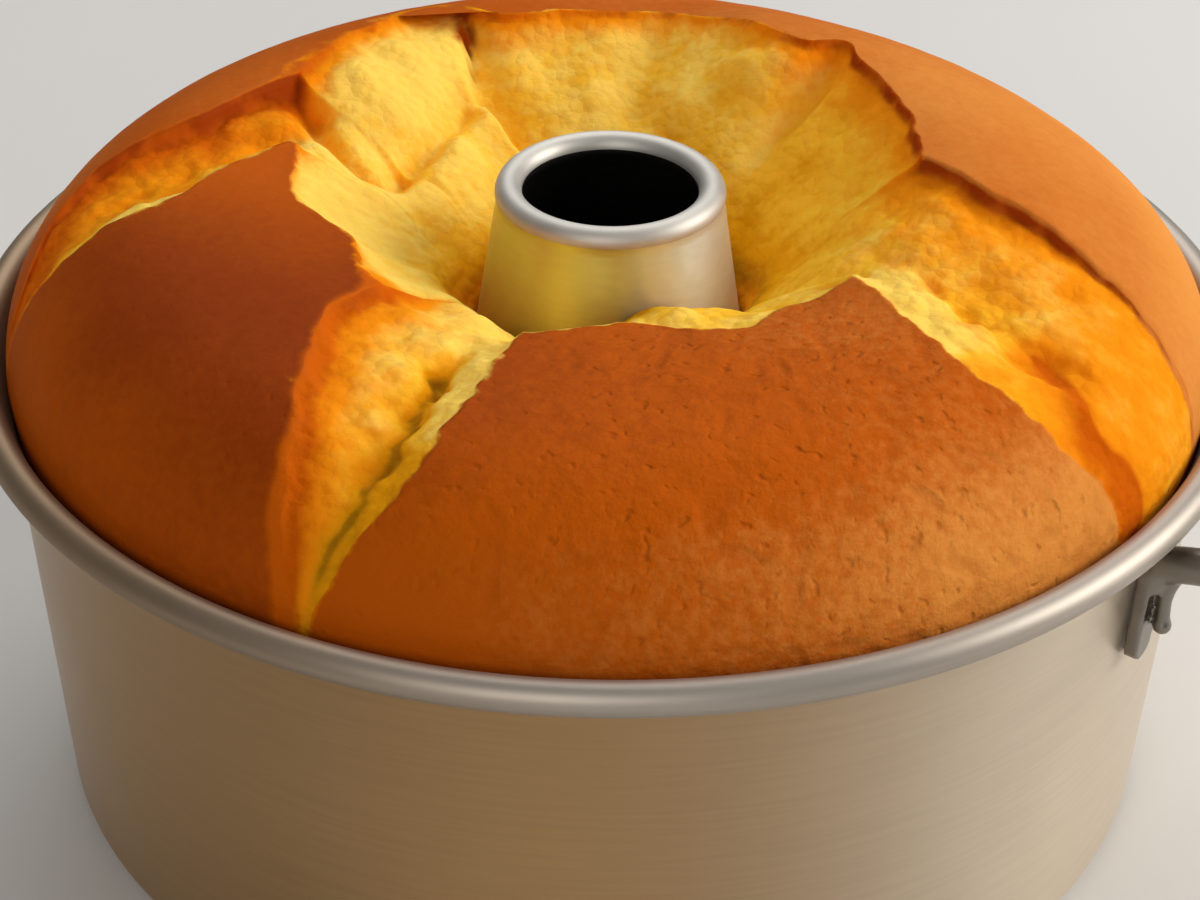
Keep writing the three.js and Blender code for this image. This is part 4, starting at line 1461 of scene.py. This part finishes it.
def smooth_route(points: list[Vector], steps: int) -> list[Vector]:
    """Draw a smooth line through points.

    Args:
        points: The points.
        steps: How many stretches lie between each pair.

    Returns:
        The line's own points, from the first given to the last.
    """
    ends = [points[0] * 2 - points[1], *points, points[-1] * 2 - points[-2]]
    route = []
    for p0, p1, p2, p3 in zip(ends, ends[1:], ends[2:], ends[3:]):
        for i in range(steps):
            t = i / steps
            spot = 2 * p1 + (p2 - p0) * t + (2 * p0 - 5 * p1 + 4 * p2 - p3) * t * t
            route.append(0.5 * (spot + (3 * p1 - p0 - 3 * p2 + p3) * t**3))
    return [*route, points[-1]]


def section_frame(along: Vector, here: Vector) -> Matrix:
    """Return the frame of a section: its Z along the line, its X as level as can be."""
    steep = 0.8
    forward = along.normalized()
    outward = Vector((here.x, here.y, 0)).normalized()
    upright = Vector((0, 0, 1)) if abs(forward.z) < steep else outward
    level = upright.cross(forward).normalized()
    upward = forward.cross(level)
    frame_here = Matrix((level, upward, forward)).transposed().to_4x4()
    frame_here.translation = here
    return frame_here


def apply_modifiers(piece: bpy.types.Object) -> None:
    """Bake a piece's modifiers into its mesh."""
    graph = bpy.context.evaluated_depsgraph_get()
    data = bpy.data.meshes.new_from_object(piece.evaluated_get(graph))
    piece.modifiers.clear()
    old, piece.data = piece.data, data
    bpy.data.meshes.remove(old)
    data.shade_smooth()


# ---------------------------------------------------------------- studio


class Panel(Enum):
    """The soft lights: place in metres about the cake, size, power and colour."""

    WINDOW = ((1.25, 0.05, 0.75), 0.9, 17.0, (1.0, 0.97, 0.93))
    OVERHEAD = ((0.0, 0.9, 1.2), 1.2, 10.0, (0.97, 0.98, 1.0))
    FILL = ((-0.25, -1.35, 0.75), 1.0, 7.0, (1.0, 0.97, 0.93))


@dataclass(frozen=True)
class Studio:
    """The camera, the soft lights and the pale floor."""

    wall: TinWall
    fitted_rim: float = 134.0  # the rim radius that the camera was fitted to, in mm
    focal_px: float = 3168.0  # focal length in pixels of a picture 1200 wide
    picture_px: float = 1200.0
    back: float = 4.30217  # camera behind the axis, as a share of the rim's radius
    up: float = 2.52641  # camera above the middle of the rim
    pitch: float = 32.705  # degrees down
    yaw: float = -0.139
    roll: float = 0.793
    aim: Triple = (0.0, 0.0, 0.1)  # the place that the lights point at, in metres
    sky_colour: Colour = (0.95, 0.97, 1.0)
    sky_strength: float = 0.22
    floor_colour: Colour = (0.66, 0.64, 0.61)
    floor_dark: float = 0.96  # how dark the floor's mottles are
    floor_rough: float = 0.75
    floor_half: float = 4.0  # half its width, in metres

    def camera(self) -> bpy.types.Object:
        """Place the camera where the photograph was taken from."""
        radius = self.fitted_rim * MM
        data = bpy.data.cameras.new("camera")
        data.sensor_width = 36.0
        data.lens = self.focal_px / self.picture_px * data.sensor_width
        camera = link_object("camera", data)
        turn = (
            Matrix.Rotation(math.radians(-self.yaw), 4, "Z")
            @ Matrix.Rotation(math.radians(90 - self.pitch), 4, "X")
            @ Matrix.Rotation(math.radians(self.roll), 4, "Z")
        )
        spot = tin_axis() + Vector((0, -self.back * radius, self.wall.bead_height * MM + self.up * radius))
        camera.matrix_world = Matrix.Translation(spot) @ turn
        bpy.context.scene.camera = camera
        return camera

    def lights(self) -> None:
        """Hang the soft panels and a dim even sky."""
        for panel in Panel:
            place, size, power, colour = panel.value
            data = bpy.data.lights.new(panel.name.lower(), "AREA")
            data.shape, data.size, data.energy, data.color = "DISK", size, power, colour
            towards = (Vector(self.aim) - Vector(place)).to_track_quat("-Z", "Y")
            light = link_object(panel.name.lower(), data)
            light.matrix_world = Matrix.Translation(place) @ towards.to_matrix().to_4x4()
        world = bpy.data.worlds.new("sky")
        world.use_nodes = True
        sky = world.node_tree.nodes["Background"]
        Bench(world.node_tree).feed(sky, {"Color": self.sky_colour, "Strength": self.sky_strength})
        bpy.context.scene.world = world

    def floor(self) -> bpy.types.Object:
        """Lay the pale floor under the object."""
        mesh = bmesh.new()
        bmesh.ops.create_grid(mesh, x_segments=1, y_segments=1, size=self.floor_half)
        bench, shader, paint = new_material("floor_paint")
        tone = bench.mottle(bench.place(), 3, 3, 0.5, 0, 1)
        darker = tuple(channel * self.floor_dark for channel in self.floor_colour)
        bench.feed(shader, {
            "Base Color": bench.mix(tone, darker, self.floor_colour), "Roughness": self.floor_rough,
        })
        floor = add_object(mesh, "floor", paint)
        return floor


def main() -> None:
    """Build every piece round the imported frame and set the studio."""
    logging.basicConfig(level=logging.INFO, format="%(name)s: %(message)s")
    bpy.context.scene.view_settings.view_transform = "Standard"
    wall = TinWall()
    tube = TubeBase()
    studio = Studio(wall)
    studio.camera()
    grain = spun_grain_group()
    # The wall's warm colours are partly painted reflection of brown surroundings, and its front-left side is
    # browned further as painted reflection.
    wall_finish = AluminiumFinish(
        "tin_aluminium", (0.73, 0.62, 0.48), (0.60, 0.50, 0.38), 0.34, wear=0.0, metal=0.78,
        painted_reflection=(0.65, 0.47, 0.27), painted_reflection_side=-118, painted_reflection_from=0.35,
    )
    # The rim's left side is darkened and browned as painted reflection of brown surroundings.
    rim_finish = AluminiumFinish(
        "rolled_rim", (0.48, 0.43, 0.37), (0.36, 0.31, 0.26), 0.5, wear=0.1, anisotropy=0.3, metal=0.85,
        painted_reflection=(0.72, 0.56, 0.40), painted_reflection_side=-165, painted_reflection_from=0.2,
    )
    lip_finish = AluminiumFinish(
        "rolled_lip", (0.60, 0.57, 0.51), (0.48, 0.45, 0.40), 0.56, wear=0.1, anisotropy=0.3, metal=0.85
    )
    # The tube is tinted yellow except on its right side, as painted reflection of the crumb.
    tube_finish = AluminiumFinish(
        "tube_aluminium", (0.74, 0.82, 0.80), (0.63, 0.70, 0.66), 0.36, wear=0.2, anisotropy=0.6, metal=0.75,
        painted_reflection=(0.88, 0.76, 0.2), painted_reflection_side=155, painted_reflection_from=-0.88, painted_reflection_full=-0.42,
    )
    # The bore is painted near black: painted shade inside the tube.
    bore_shade_finish = AluminiumFinish("tube_bore_shade", (0.05, 0.045, 0.04), (0.02, 0.018, 0.016), 0.6, anisotropy=0)
    cast_finish = AluminiumFinish(
        "handle_aluminium", (0.36, 0.33, 0.29), (0.16, 0.14, 0.12), 0.31, reach=1.0, fineness=70.0, wear=0.0,
        anisotropy=0,
    )
    wall.build(wall_finish.material(grain), rim_finish.material(grain))
    tube.build(wall, tube_finish.material(grain), bore_shade_finish.material(grain), lip_finish.material(grain))
    Cake(wall, tube).build(CakeFinish().material())
    Handle(wall).build(cast_finish.material(grain))
    studio.lights()
    studio.floor()


if __name__ == "__main__":
    main()
